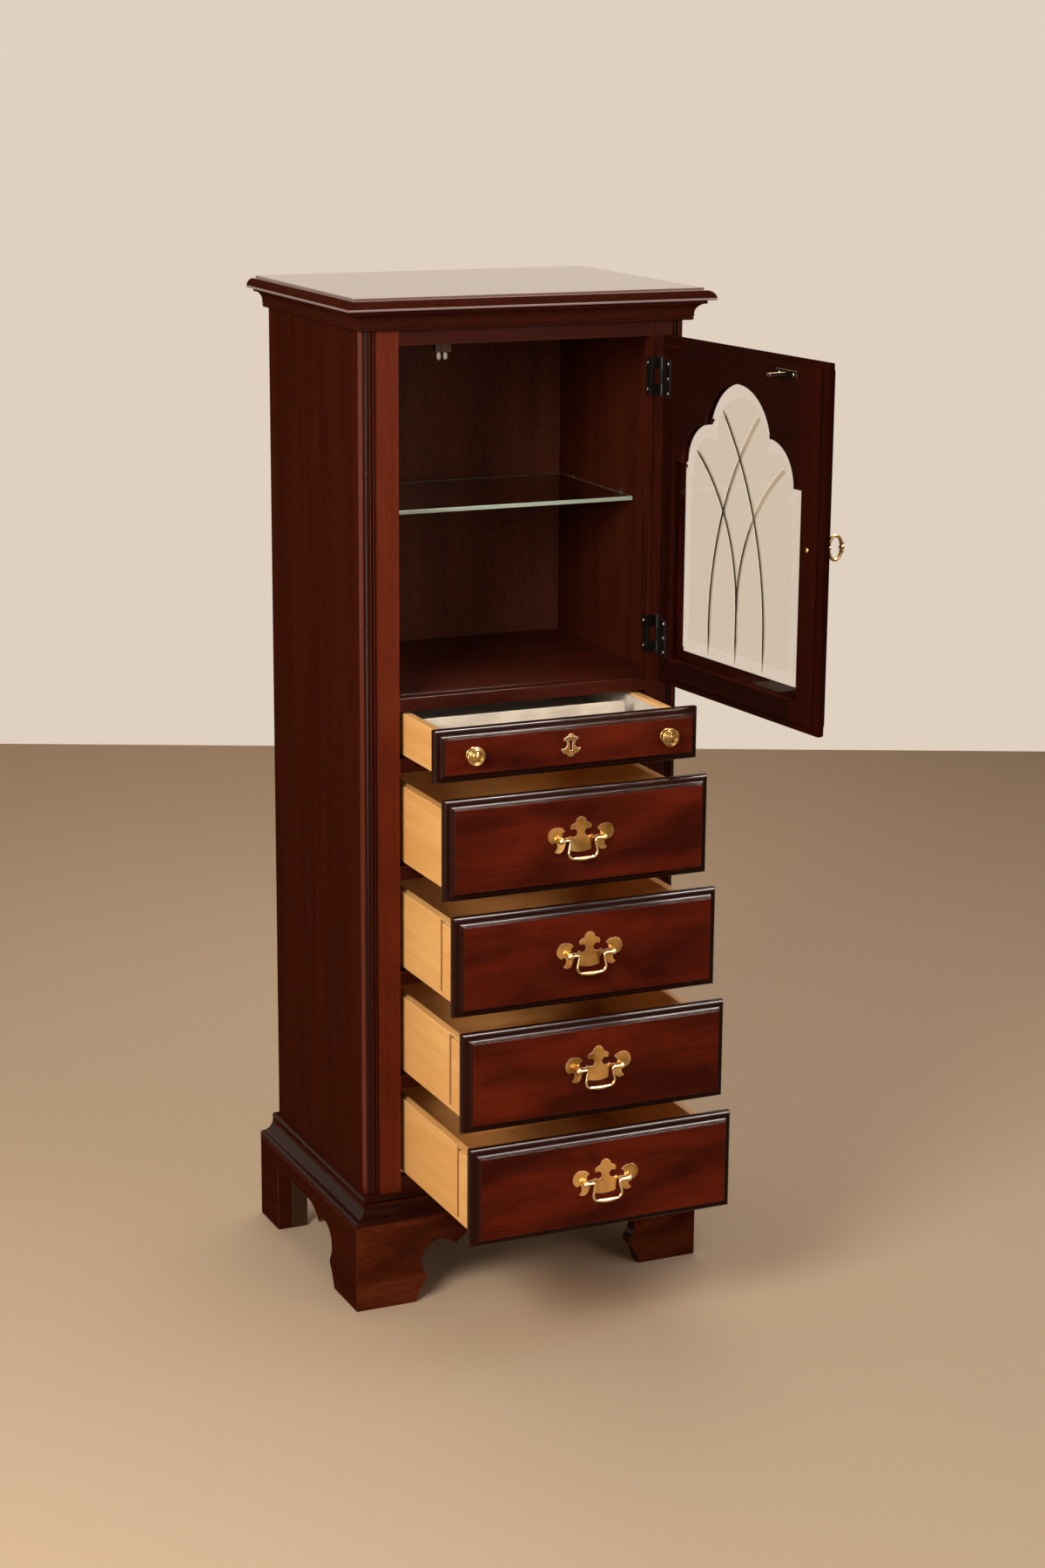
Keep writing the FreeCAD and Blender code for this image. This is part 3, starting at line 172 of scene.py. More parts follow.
def add_node(
    tree: bpy.types.NodeTree, kind: str, inputs: Inputs = (), **settings: Any
) -> bpy.types.Node:
    """Adds one node with its settings, values and links.

    Args:
        tree: Node tree that takes the node.
        kind: Blender's type name of the node.
        inputs: What its sockets are fed with.
        **settings: Properties of the node.

    Returns:
        The new node.
    """
    node = tree.nodes.new(kind)
    for key, value in settings.items():
        setattr(node, key, value)
    feed(node, inputs)
    return node


@dataclass(frozen=True)
class Finish:
    """A real material and how its surface was made."""

    name: str
    slot: str

    def new_tree(
        self, values: Inputs
    ) -> tuple[bpy.types.Material, bpy.types.NodeTree, bpy.types.Node]:
        """Starts a material with one principled shader.

        Args:
            values: Uniform values for the shader's own sockets.

        Returns:
            The material, its node tree and its shader.
        """
        material = bpy.data.materials.new(self.name)
        material.use_nodes = True
        shader = material.node_tree.nodes["Principled BSDF"]
        feed(shader, values)
        return material, material.node_tree, shader

    def material(self) -> bpy.types.Material:
        """The material of this finish, built once."""
        found = bpy.data.materials.get(self.name)
        return found if found else self.build()

    def build(self) -> bpy.types.Material:
        """Builds the material. Each finish has its own way."""
        raise NotImplementedError


@dataclass(frozen=True)
class Wood(Finish):
    """Planed hardwood under lacquer: stretched figure, fine fibres, short pores, and arrises painted
    lighter, as wear and as a painted highlight.

    Pairs of sizes are across and along the fibres, and pairs of noise levels are those between
    which a layer comes in.
    """

    dark: str = "#3a0f07"
    light: str = "#6a2411"
    pore: str = "#240a06"
    # Colour of the eased arrises: their wear, and a painted highlight along them.
    worn_and_highlight: str = "#8a4526"
    cloud: str = "#1c0704"
    figure_mm: tuple[float, float] = (26.0, 420.0)
    figure_noise: tuple[float, float] = (0.42, 1.05)
    fibre_mm: tuple[float, float] = (2.2, 90.0)
    fibre_share: float = 0.45
    fibre_depth_mm: float = 0.12
    fibre_bump: float = 0.25
    pore_mm: tuple[float, float] = (0.9, 14.0)
    pore_noise: tuple[float, float] = (0.36, 0.48)
    pore_depth: float = 0.5
    cloud_mm: tuple[float, float] = (62.0, 170.0)
    cloud_noise: tuple[float, float] = (0.4, 0.66)
    cloud_depth: float = 0.0
    waviness: float = 0.5
    tone_spread: float = 0.25
    ior: float = 1.5
    roughness: float = 0.3
    matt_by: float = 0.06
    gloss_by: float = 0.04
    specular: float = 0.2
    coat: float = 0.0
    coat_roughness: float = 0.08
    least_wear_and_highlight: float = 0.2
    wear_and_highlight: float = 0.4

    def build(self) -> bpy.types.Material:
        """Reads the board's own grain attribute, so each board has its own cut of the tree.

        Returns:
            The new material.
        """
        material, tree, shader = self.new_tree(
            {
                "IOR": self.ior,
                "Specular IOR Level": self.specular,
                "Coat Weight": self.coat,
                "Coat Roughness": self.coat_roughness,
            }
        )
        grain, tone, arris = (
            add_node(tree, "ShaderNodeAttribute", attribute_name=name).outputs[output]
            for name, output in (("grain", "Vector"), ("tone", "Fac"), ("arris", "Fac"))
        )
        layers = []
        for (wide, long), detail in (
            (self.figure_mm, 4.0),
            (self.fibre_mm, 3.0),
            (self.pore_mm, 1.0),
            (self.cloud_mm, 3.0),
        ):
            scale = (1 / (wide * MM), 1 / (wide * MM), 1 / (long * MM))
            place = add_node(tree, "ShaderNodeMapping", {"Vector": grain, "Scale": scale})
            noise = {"Vector": place, "Scale": 1.0, "Detail": detail, "Distortion": self.waviness}
            layers.append(add_node(tree, "ShaderNodeTexNoise", noise))
        figure, fibre, pores, clouds = layers
        level: Any = figure
        for layer, weight in ((fibre, self.fibre_share), (tone, self.tone_spread)):
            level = add_node(
                tree, "ShaderNodeMath", (layer, weight, level), operation="MULTIPLY_ADD"
            )
        low, high = self.figure_noise
        figured, stained, pored, rub_and_highlight, matt = (
            add_node(tree, "ShaderNodeMapRange", limits)
            for limits in (
                (level, low, high + self.tone_spread),
                (clouds, *self.cloud_noise, 0.0, self.cloud_depth),
                (pores, *self.pore_noise, self.pore_depth, 0.0),
                (figure, *NOISE_SPAN, self.least_wear_and_highlight, self.wear_and_highlight),
                (fibre, *NOISE_SPAN, self.roughness - self.gloss_by, self.roughness + self.matt_by),
            )
        )
        # Arrises painted lighter, as wear and as a painted highlight.
        rubbed_and_highlit = add_node(tree, "ShaderNodeMath", (rub_and_highlight, arris), operation="MULTIPLY")
        tint: Any = colour(self.dark)
        for share, hue in (
            (figured, self.light),
            (stained, self.cloud),
            (pored, self.pore),
            (rubbed_and_highlit, self.worn_and_highlight),
        ):
            mixed = {SHARE: share, GROUND: tint, LAYER: colour(hue)}
            tint = add_node(tree, "ShaderNodeMix", mixed, data_type="RGBA")
        ridges = {
            "Strength": self.fibre_bump,
            "Distance": self.fibre_depth_mm * MM,
            "Height": fibre,
        }
        bump = add_node(tree, "ShaderNodeBump", ridges)
        feed(shader, {"Base Color": tint, "Roughness": matt, "Normal": bump})
        return material


@dataclass(frozen=True)
class Metal(Finish):
    """Cast, turned or plated metal: tarnish in clouds, arrises rubbed and painted pale as a
    highlight, and fine handling marks.
    """

    clean: str = "#cdab70"
    tarnish: str = "#92723f"
    # Colour of the eased arrises: real rubbing, and a painted highlight.
    rubbed_and_highlit: str = "#fff0dc"
    cloud_mm: float = 34.0
    cloud_noise: tuple[float, float] = (0.38, 0.68)
    dish_mm: float = 0.0
    swell_mm: float = 60.0
    mark_mm: float = 0.7
    mark_depth_mm: float = 0.05
    mark_bump: float = 0.2
    roughness: tuple[float, float] = (0.14, 0.24)
    roughness_noise: tuple[float, float] = (0.35, 0.7)
    scuff: float = 0.25
    metallic: float = 1.0

    def build(self) -> bpy.types.Material:
        """Clouds of tarnish and fine marks on Object coordinates, and the mesh's own arrises.

        Returns:
            The new material.
        """
        material, tree, shader = self.new_tree({"Metallic": self.metallic})
        place = add_node(tree, "ShaderNodeTexCoord").outputs["Object"]
        arris = add_node(tree, "ShaderNodeAttribute", attribute_name="arris").outputs["Fac"]
        clouds, marks, swell = (
            add_node(
                tree,
                "ShaderNodeTexNoise",
                {"Vector": place, "Scale": 1 / (size * MM), "Detail": detail},
            )
            for size, detail in ((self.cloud_mm, 4.0), (self.mark_mm, 1.0), (self.swell_mm, 0.0))
        )
        tarnished = add_node(tree, "ShaderNodeMapRange", (clouds, *self.cloud_noise))
        tint: Any = colour(self.clean)
        # Arrises painted pale: rubbing and a painted highlight.
        for share, hue in ((tarnished, self.tarnish), (arris, self.rubbed_and_highlit)):
            mixed = {SHARE: share, GROUND: tint, LAYER: colour(hue)}
            tint = add_node(tree, "ShaderNodeMix", mixed, data_type="RGBA")
        matt = add_node(
            tree, "ShaderNodeMapRange", (clouds, *self.roughness_noise, *self.roughness)
        )
        scuffed = add_node(
            tree, "ShaderNodeMath", (arris, self.scuff, matt), operation="MULTIPLY_ADD"
        )
        normal: dict[str, Any] = {}
        for height, strength, depth in (
            (marks, self.mark_bump, self.mark_depth_mm),
            (swell, 1.0, self.dish_mm),
        ):
            relief = {"Strength": strength, "Distance": depth * MM, "Height": height, **normal}
            normal = {"Normal": add_node(tree, "ShaderNodeBump", relief)}
        feed(shader, {"Base Color": tint, "Roughness": scuffed, **normal})
        return material


@dataclass(frozen=True)
class Felt(Finish):
    """Flocked lining: short pile, with soft patches where it has been pressed."""

    pale: str = "#d6cebf"
    pressed: str = "#b9b1a2"
    patch_mm: float = 38.0
    pile_mm: float = 1.6
    pile_share: float = 0.5
    pile_noise: tuple[float, float] = (0.5, 1.0)
    pile_depth_mm: float = 0.3
    pile_bump: float = 0.5

    def build(self) -> bpy.types.Material:
        """Pile drawn coarser than the real tenth of a millimetre, so that it shows.

        Returns:
            The new material.
        """
        material, tree, shader = self.new_tree(
            {
                "Roughness": 0.95,
                "Specular IOR Level": 0.1,
                "Sheen Weight": 0.35,
                "Sheen Roughness": 0.5,
            }
        )
        place = add_node(tree, "ShaderNodeTexCoord").outputs["Object"]
        patch, pile = (
            add_node(
                tree,
                "ShaderNodeTexNoise",
                {"Vector": place, "Scale": 1 / (size * MM), "Detail": detail},
            )
            for size, detail in ((self.patch_mm, 3.0), (self.pile_mm, 2.0))
        )
        level = add_node(
            tree, "ShaderNodeMath", (pile, self.pile_share, patch), operation="MULTIPLY_ADD"
        )
        share = add_node(tree, "ShaderNodeMapRange", (level, *self.pile_noise))
        mixed = {SHARE: share, GROUND: colour(self.pressed), LAYER: colour(self.pale)}
        tint = add_node(tree, "ShaderNodeMix", mixed, data_type="RGBA")
        tufts = {
            "Strength": self.pile_bump,
            "Distance": self.pile_depth_mm * MM,
            "Height": pile,
        }
        bump = add_node(tree, "ShaderNodeBump", tufts)
        feed(shader, {"Base Color": tint, "Normal": bump})
        return material


@dataclass(frozen=True)
class Waxy(Finish):
    """Moulded nylon, or the painted shadow behind a filler strip: even, slightly waxy, with faint
    flow clouds.
    """

    tint: str = "#8d8678"
    shade: str = "#746d60"
    flow_mm: float = 4.0
    roughness: float = 0.45
    ior: float = 1.53

    def build(self) -> bpy.types.Material:
        """Flow clouds a few millimetres across.

        Returns:
            The new material.
        """
        material, tree, shader = self.new_tree({"Roughness": self.roughness, "IOR": self.ior})
        place = add_node(tree, "ShaderNodeTexCoord").outputs["Object"]
        flow = add_node(
            tree,
            "ShaderNodeTexNoise",
            {"Vector": place, "Scale": 1 / (self.flow_mm * MM), "Detail": 2.0},
        )
        mixed = {SHARE: flow, GROUND: colour(self.tint), LAYER: colour(self.shade)}
        tint = add_node(tree, "ShaderNodeMix", mixed, data_type="RGBA")
        feed(shader, {"Base Color": tint})
        return material


@dataclass(frozen=True)
class Glass(Finish):
    """Float glass: clear, faintly green where one looks through its edge."""

    tint: str = "#f4faf6"
    wipe_mm: float = 60.0
    wipe_noise: tuple[float, float] = (0.4, 0.75)
    smear: float = 0.02
    roughness: float = 0.0
    transmission: float = 1.0
    ior: float = 1.5

    def build(self) -> bpy.types.Material:
        """Clear glass with a trace of wiping marks in its gloss.

        Returns:
            The new material.
        """
        material, tree, shader = self.new_tree(
            {
                "Base Color": colour(self.tint),
                "IOR": self.ior,
                "Transmission Weight": self.transmission,
            }
        )
        place = add_node(tree, "ShaderNodeTexCoord").outputs["Object"]
        wipe = add_node(
            tree,
            "ShaderNodeTexNoise",
            {"Vector": place, "Scale": 1 / (self.wipe_mm * MM), "Detail": 3.0},
        )
        smeared = (self.roughness, self.roughness + self.smear)
        matt = add_node(tree, "ShaderNodeMapRange", (wipe, *self.wipe_noise, *smeared))
        feed(shader, {"Roughness": matt})
        return material


# Red-brown stained cherry, its sides rubbed dead matt: deep and warm.
CHERRY = Wood("rubbed_cherry_sides", "cherry", dark="#2d0f07", light="#461c0e", specular=0.0)
# The redder boards picked for the drawer fronts, blotched where the stain sank in.
CHERRY_FRONT = Wood(
    "rubbed_cherry_fronts",
    "cherry",
    dark="#46130a",
    light="#6a230e",
    pore_depth=0.3,
    specular=0.03,
    cloud_depth=0.7,
)
# Posts of the face frame: the left one red, the right one painted near black as the open door's
# shadow.
CHERRY_FRAME = Wood(
    "cherry_posts_right_painted_shadow",
    "cherry",
    dark="#1c0905",
    light="#682814",
    pore_depth=0.3,
    specular=0.05,
    tone_spread=0.7,
)
# The rails between the drawers lie deep in the toner.
CHERRY_BETWEEN = Wood(
    "toned_cherry_rails",
    "cherry",
    dark="#290d08",
    light="#471a10",
    pore_depth=0.3,
    specular=0.05,
    cloud_depth=0.4,
)
# The base was rubbed through in places by cleaning, so it is browner and patchy.
CHERRY_BASE = Wood(
    "scuffed_cherry_base",
    "cherry",
    dark="#3c170c",
    light="#6a3119",
    specular=0.0,
    cloud_depth=0.8,
)
# Boards inside the cupboard, painted lighter to make up for the light that doesn't reach inside.
CHERRY_INSIDE = Wood(
    "cherry_inside_painted_light", "cherry", dark="#34140c", light="#5a2413", specular=0.08
)
# The back panel is painted lighter still, to make up for the light that doesn't reach the back of the
# cupboard.
CHERRY_BACK = Wood(
    "cherry_back_painted_light",
    "cherry",
    dark="#4c281e",
    light="#71402f",
    pore="#30150e",
    specular=0.05,
)
# The door's stiles are a near-black red, and its rails darker still.
CHERRY_STILE = Wood(
    "dark_cherry_stile", "cherry", dark="#180704", light="#2e0e07", specular=0.0, wear_and_highlight=0.1
)
CHERRY_RAIL = Wood(
    "dark_cherry_rail", "cherry", dark="#150806", light="#260f09", specular=0.0, wear_and_highlight=0.0
)
# Mouldings: painted near black, as the shade they fall into where they turn from the light, under a
# smooth gloss.
CHERRY_MOULDED_SHADED = Wood(
    "moulded_cherry_painted_shade",
    "cherry",
    dark="#170705",
    light="#2b0d07",
    roughness=0.22,
    specular=0.09,
    wear_and_highlight=0.1,
)
# Crown and nosing of the top were rubbed down, so their gloss is broad and soft.
CHERRY_CROWN = Wood(
    "rubbed_cherry_crown",
    "cherry",
    dark="#29110a",
    light="#441c10",
    specular=0.0,
    wear_and_highlight=0.3,
)
# Arrises keep the gloss of the lacquer and catch thin bright lines.
CHERRY_ARRIS = Wood(
    "glossy_cherry_arris",
    "cherry",
    dark="#1f0805",
    light="#38110a",
    roughness=0.2,
    specular=0.1,
    wear_and_highlight=0.15,
)
# The top was polished out and mirrors the room at a low angle.
CHERRY_TOP = Wood(
    "polished_cherry_top",
    "cherry",
    dark="#3a1209",
    light="#5c2010",
    roughness=0.14,
    specular=0.6,
    coat=0.9,
)
# Clear-lacquered hard maple of the drawer boxes: golden, close-grained.
MAPLE = Wood(
    "clear_lacquered_maple",
    "maple",
    dark="#d89a50",
    light="#f2c47e",
    pore="#b07a3e",
    worn_and_highlight="#f6dcae",
    figure_mm=(18.0, 300.0),
    fibre_mm=(1.8, 60.0),
    pore_depth=0.2,
    tone_spread=0.3,
    roughness=0.36,
    specular=0.35,
)
# A painted shadow behind each filler strip: a dull brown streak on the maple.
FILLER_SHADOW = Waxy("painted_filler_shadow", "maple", tint="#a06c2c", shade="#7d5020")
# Sawn poplar of the hidden blocks and guides, painted dark brown as the shade they stand in, so that
# it doesn't show.
POPLAR = Wood(
    "poplar_painted_shade",
    "poplar",
    dark="#2a1a0e",
    light="#46301c",
    pore="#1c1109",
    worn_and_highlight="#5a4128",
    roughness=0.7,
    specular=0.1,
)
# Cast brass with an antique lacquer: warm gold on the crests, brown in the hollows.
BRASS = Metal("antique_brass", "brass")
# Bails are handled, so they stay bright; they and the plates' posts are painted paler still, as a
# highlight.
BRASS_BRIGHT = Metal(
    "handled_brass_painted_highlight",
    "brass",
    clean="#ead7b0",
    tarnish="#c2a470",
    rubbed_and_highlit="#fff6e6",
    roughness=(0.1, 0.18),
)
# The same brass stamped into thin plates, slightly dished, so that they shade from brown to gold.
BRASS_PLATE = Metal(
    "stamped_brass_plate", "brass", clean="#f4c478", tarnish="#9c7538", dish_mm=14.0
)
# Edges of the stamped plates, polished pale and painted near white as a highlight.
BRASS_EDGE = Metal(
    "polished_brass_edge_painted_highlight",
    "brass",
    clean="#fff0dc",
    tarnish="#ecd6ae",
    roughness=(0.3, 0.4),
    metallic=0.5,
)
# Japanned steel of the hinges: near black, satin, its bends rubbed and painted bright as a highlight.
BLACK = Metal(
    "japanned_steel",
    "black_metal",
    clean="#0b0908",
    tarnish="#15110f",
    rubbed_and_highlit="#3a342e",
    roughness=(0.3, 0.45),
    metallic=0.3,
)
# Bronze-plated steel of the catch and strike: dark brown with a dull shine.
STEEL = Metal(
    "bronzed_steel",
    "steel",
    clean="#3a2f26",
    tarnish="#1f1813",
    rubbed_and_highlit="#6e604f",
    roughness=(0.3, 0.5),
)
# Bright zinc plate of the shelf pins and the small screws: a cool pale glint.
ZINC = Metal(
    "zinc_plate",
    "steel",
    clean="#c9c4ba",
    tarnish="#8f8a80",
    rubbed_and_highlit="#efece6",
    roughness=(0.2, 0.4),
)
# Flocked lining of the jewellery tray: soft, pale and mottled.
FELT = Felt("flocked_felt", "felt")
# Moulded rollers of the catch: grey and waxy.
NYLON = Waxy("moulded_nylon", "nylon")
# The loose shelf: clear float glass.
GLASS = Glass("clear_float_glass", "glass")
# The door's pane has a film of dust that dulls its mirror, and its polished bevel is clearer.
GLASS_PANE = Glass("dusty_float_glass", "glass", tint="#f2efe6", ior=1.22)
GLASS_BEVEL = Glass("polished_glass_bevel", "glass", tint="#ffffff", ior=1.22)
# Ground edges of the shelf, painted pale green as the glow of the light that the glass carries to
# them.
GLASS_EDGE = Glass(
    "ground_glass_edge_painted_glow", "glass", tint="#bcd0be", roughness=0.5, transmission=0.25
)
# A wheel-cut groove with painted light and shade: its core painted dark as shade, one flank frosted
# and painted pale as a highlight, the other painted as shade. The core's four tones fade the painted
# shade out where the line leans over.
CUT_CORES = [
    Glass(f"wheel_cut_core_painted_shade_{step}", "glass", tint=tint, roughness=0.35, transmission=share)
    for step, (tint, share) in enumerate(
        (("#2a2a20", 0.1), ("#4a473b", 0.2), ("#6f695b", 0.35), ("#938a7b", 0.5))
    )
]
CUT_PAINTED_HIGHLIGHT = Glass(
    "wheel_cut_flank_painted_highlight", "glass", tint="#ebe3d5", roughness=0.45, transmission=0.3
)
CUT_SHADE = Glass(
    "wheel_cut_flank_painted_shade", "glass", tint="#b3a898", roughness=0.4, transmission=0.6
)


def add_piece(
    name: str, bm: BMesh, finishes: Sequence[Finish], body: str, replaces: Sequence[str] = ()
) -> bpy.types.Object:
    """Makes an object of a finished bmesh and sets it on its body.

    Args:
        name: Name of the piece.
        bm: Its mesh in the frame of the chest. It is freed.
        finishes: Finishes in the order of the faces' material indices.
        body: Body that the piece rides on.
        replaces: Solids that the piece stands for.

    Returns:
        The new object.
    """
    mesh = bpy.data.meshes.new(name)
    bm.to_mesh(mesh)
    bm.free()
    for finish in finishes:
        mesh.materials.append(finish.material())
    piece = bpy.data.objects.new(name, mesh)
    bpy.context.scene.collection.objects.link(piece)
    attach(piece, body)
    if replaces:
        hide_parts(*replaces)
    log.info("%s: %d faces on %s", name, len(mesh.polygons), body)
    return piece


def finish_node(node: str, finish: Finish) -> None:
    """Gives a solid that stays its finish.

    Args:
        node: Name of the node.
        finish: Finish for its material slots.
    """
    for slot in frame["nodes"][node].material_slots:
        slot.material = finish.material()
    log.info("%s: solid kept, %s", node, finish.name)


def joined_copy(node: str) -> BMesh:
    """Copies the loose triangles of a node and joins them.

    Args:
        node: Name of the node.

    Returns:
        The copy.
    """
    bm = bmesh.new()
    bm.from_mesh(frame["nodes"][node].data)
    bmesh.ops.remove_doubles(bm, verts=bm.verts, dist=JOIN_MM * MM)
    return bm


def flatten(bm: BMesh) -> None:
    """Makes one face of the faces that lie in one plane."""
    limit = math.radians(FLAT_DEG)
    bmesh.ops.dissolve_limit(bm, angle_limit=limit, verts=bm.verts, edges=bm.edges)


def settle(bm: BMesh) -> None:
    """Puts points and faces in an order that their places alone give.

    Extruding, spinning and merging leave them in an order that changes from run to run, and with
    it the diagonals of flat faces.

    Args:
        bm: The mesh, before its faces get finishes.
    """
    bm.verts.sort(key=lambda vert: vert.co.dot(ORDER_ALONG))
    bm.verts.index_update()
    rings: dict[tuple[int, ...], list[BMVert]] = {}
    for face in bm.faces:
        verts = list(face.verts)
        first = verts.index(min(verts, key=lambda vert: vert.index))
        ring = verts[first:] + verts[:first]
        rings[tuple(vert.index for vert in ring)] = ring
    bmesh.ops.delete(bm, geom=bm.faces[:], context="FACES_ONLY")
    for _, ring in sorted(rings.items(), key=lambda item: item[0]):
        bm.faces.new(ring)
    bm.normal_update()


def soften(bm: BMesh, limit_deg: float = 40.0) -> None:
    """Shades a mesh smooth except over edges sharper than a limit.

    Args:
        bm: The mesh.
        limit_deg: Largest angle between two faces that still shades smooth.
    """
    limit = math.radians(limit_deg)
    for face in bm.faces:
        face.smooth = True
    for edge in bm.edges:
        edge.smooth = len(edge.link_faces) == 2 and edge.calc_face_angle(0.0) < limit


def islands(bm: BMesh) -> list[list[BMVert]]:
    """Groups the vertices of a mesh by connected solid.

    Args:
        bm: The mesh.

    Returns:
        The groups, in the order of their first vertices.
    """
    seen: set[BMVert] = set()
    groups: list[list[BMVert]] = []
    for start in bm.verts:
        if start in seen:
            continue
        group, queue = [], [start]
        seen.add(start)
        while queue:
            vert = queue.pop()
            group.append(vert)
            for edge in vert.link_edges:
                other = edge.other_vert(vert)
                if other not in seen:
                    seen.add(other)
                    queue.append(other)
        groups.append(group)
    return groups


@dataclass
class EasedCopy:
    """One node, copied with eased arrises. Wood gets its grain laid along each board."""

    node: str
    finish: Finish
    grain: Grain | Callable[[Vector], Grain] = Grain.UP
    arris_mm: float = 0.7
    moulded: Finish | None = None
    edge: Finish | None = None
    sharp_deg: float = 28.0
    flush: Callable[[Vector], bool] | None = None
    raised: bool = False
    tones: tuple[float, ...] = ()
    under_mm: float = 0.1
    foremost_mm: float = 0.3

    def grain_at(self, point: Vector) -> Grain:
        """Grain of the board that holds a point."""
        return self.grain if isinstance(self.grain, Grain) else self.grain(point)

    def inside(self, face: BMFace) -> Vector:
        """A point just under a face."""
        return face.calc_center_median() - face.normal * self.under_mm * MM

    def merge(self, bm: BMesh) -> None:
        """Joins the loose triangles of each board, but not two boards that meet at a mitre.

        Args:
            bm: The copy.
        """
        groups: dict[Grain, dict[BMVert, None]] = {}
        for face in bm.faces:
            grain = self.grain_at(self.inside(face))
            groups.setdefault(grain, {}).update(dict.fromkeys(face.verts))
        for verts in groups.values():
            bmesh.ops.remove_doubles(bm, verts=list(verts), dist=JOIN_MM * MM)
        flatten(bm)

    def ease(self, bm: BMesh) -> None:
        """Rounds the convex arrises, except at flush joints, and marks the new faces, which the
        finishes paint lighter, as wear and as a painted highlight.

        Args:
            bm: The copy.
        """
        arris = bm.faces.layers.float.new("arris")
        limit = math.radians(self.sharp_deg)
        edges: list[BMEdge] = [
            edge
            for edge in bm.edges
            if len(edge.link_faces) == 2 and edge.is_convex and edge.calc_face_angle(0.0) > limit
        ]
        if self.flush:
            edges = [edge for edge in edges if not all(self.flush(v.co) for v in edge.verts)]
        made = bmesh.ops.bevel(
            bm,
            geom=edges,
            offset=self.arris_mm * MM,
            offset_type="OFFSET",
            affect="EDGES",
            segments=3,
            profile=0.5,
            material=-1,
            clamp_overlap=True,
            loop_slide=True,
        )
        for face in made["faces"]:
            face[arris] = 1.0

    def lay_grain(self, bm: BMesh) -> None:
        """Gives each board its own place in the tree and its own tone.

        Args:
            bm: The copy.
        """
        grain = bm.verts.layers.float_vector.new("grain")
        tone = bm.verts.layers.float.new("tone")
        for count, group in enumerate(islands(bm)):
            axes = self.grain_at(self.inside(group[0].link_faces[0])).axes()
            seed = sum(ord(letter) for letter in self.node) * LETTER_STEP + count * BOARD_STEP
            shift = Vector([(seed * step) % 1.0 for step in TREE_STEPS]) * TREE_M
            level = self.tones[count] if self.tones else (seed * TONE_STEP) % 1.0
            for vert in group:
                vert[grain] = axes @ vert.co + shift
                vert[tone] = level

    def polish(self, bm: BMesh) -> None:
        """Gives moulded faces the second finish and eased arrises the third.

        On a raised front only the foremost flat keeps the first finish; the other flats of its
        moulded edge take the second, which on the drawer fronts is painted shade.

        Args:
            bm: The copy.
        """
        arris = bm.faces.layers.float["arris"]
        axes = [*(Vector(grain.value) for grain in Grain), DOOR_THROUGH]
        foremost = min(vert.co.y for vert in bm.verts) + self.foremost_mm * MM
        for face in bm.faces:
            flat = max(abs(face.normal.dot(axis)) for axis in axes) > SQUARE_COS
            if self.raised:
                flat = flat and face.calc_center_median().y < foremost
            kind = Surface.FLAT if flat else Surface.MOULDED
            face.material_index = Surface.EDGE if face[arris] else kind

    def dress(self) -> bpy.types.Object:
        """Copies the node, eases it and replaces it.

        Returns:
            The new piece.
        """
        source = frame["nodes"][self.node]
        bm = bmesh.new()
        bm.from_mesh(source.data)
        self.merge(bm)
        self.ease(bm)
        self.lay_grain(bm)
        soften(bm)
        finishes = [self.finish]
        if self.moulded and self.edge:
            self.polish(bm)
            finishes += [self.moulded, self.edge]
        piece = add_piece(f"{self.node}_eased", bm, finishes, source["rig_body"], [self.node])
        piece.modifiers.new("flat faces stay flat", "WEIGHTED_NORMAL").keep_sharp = True
        return piece


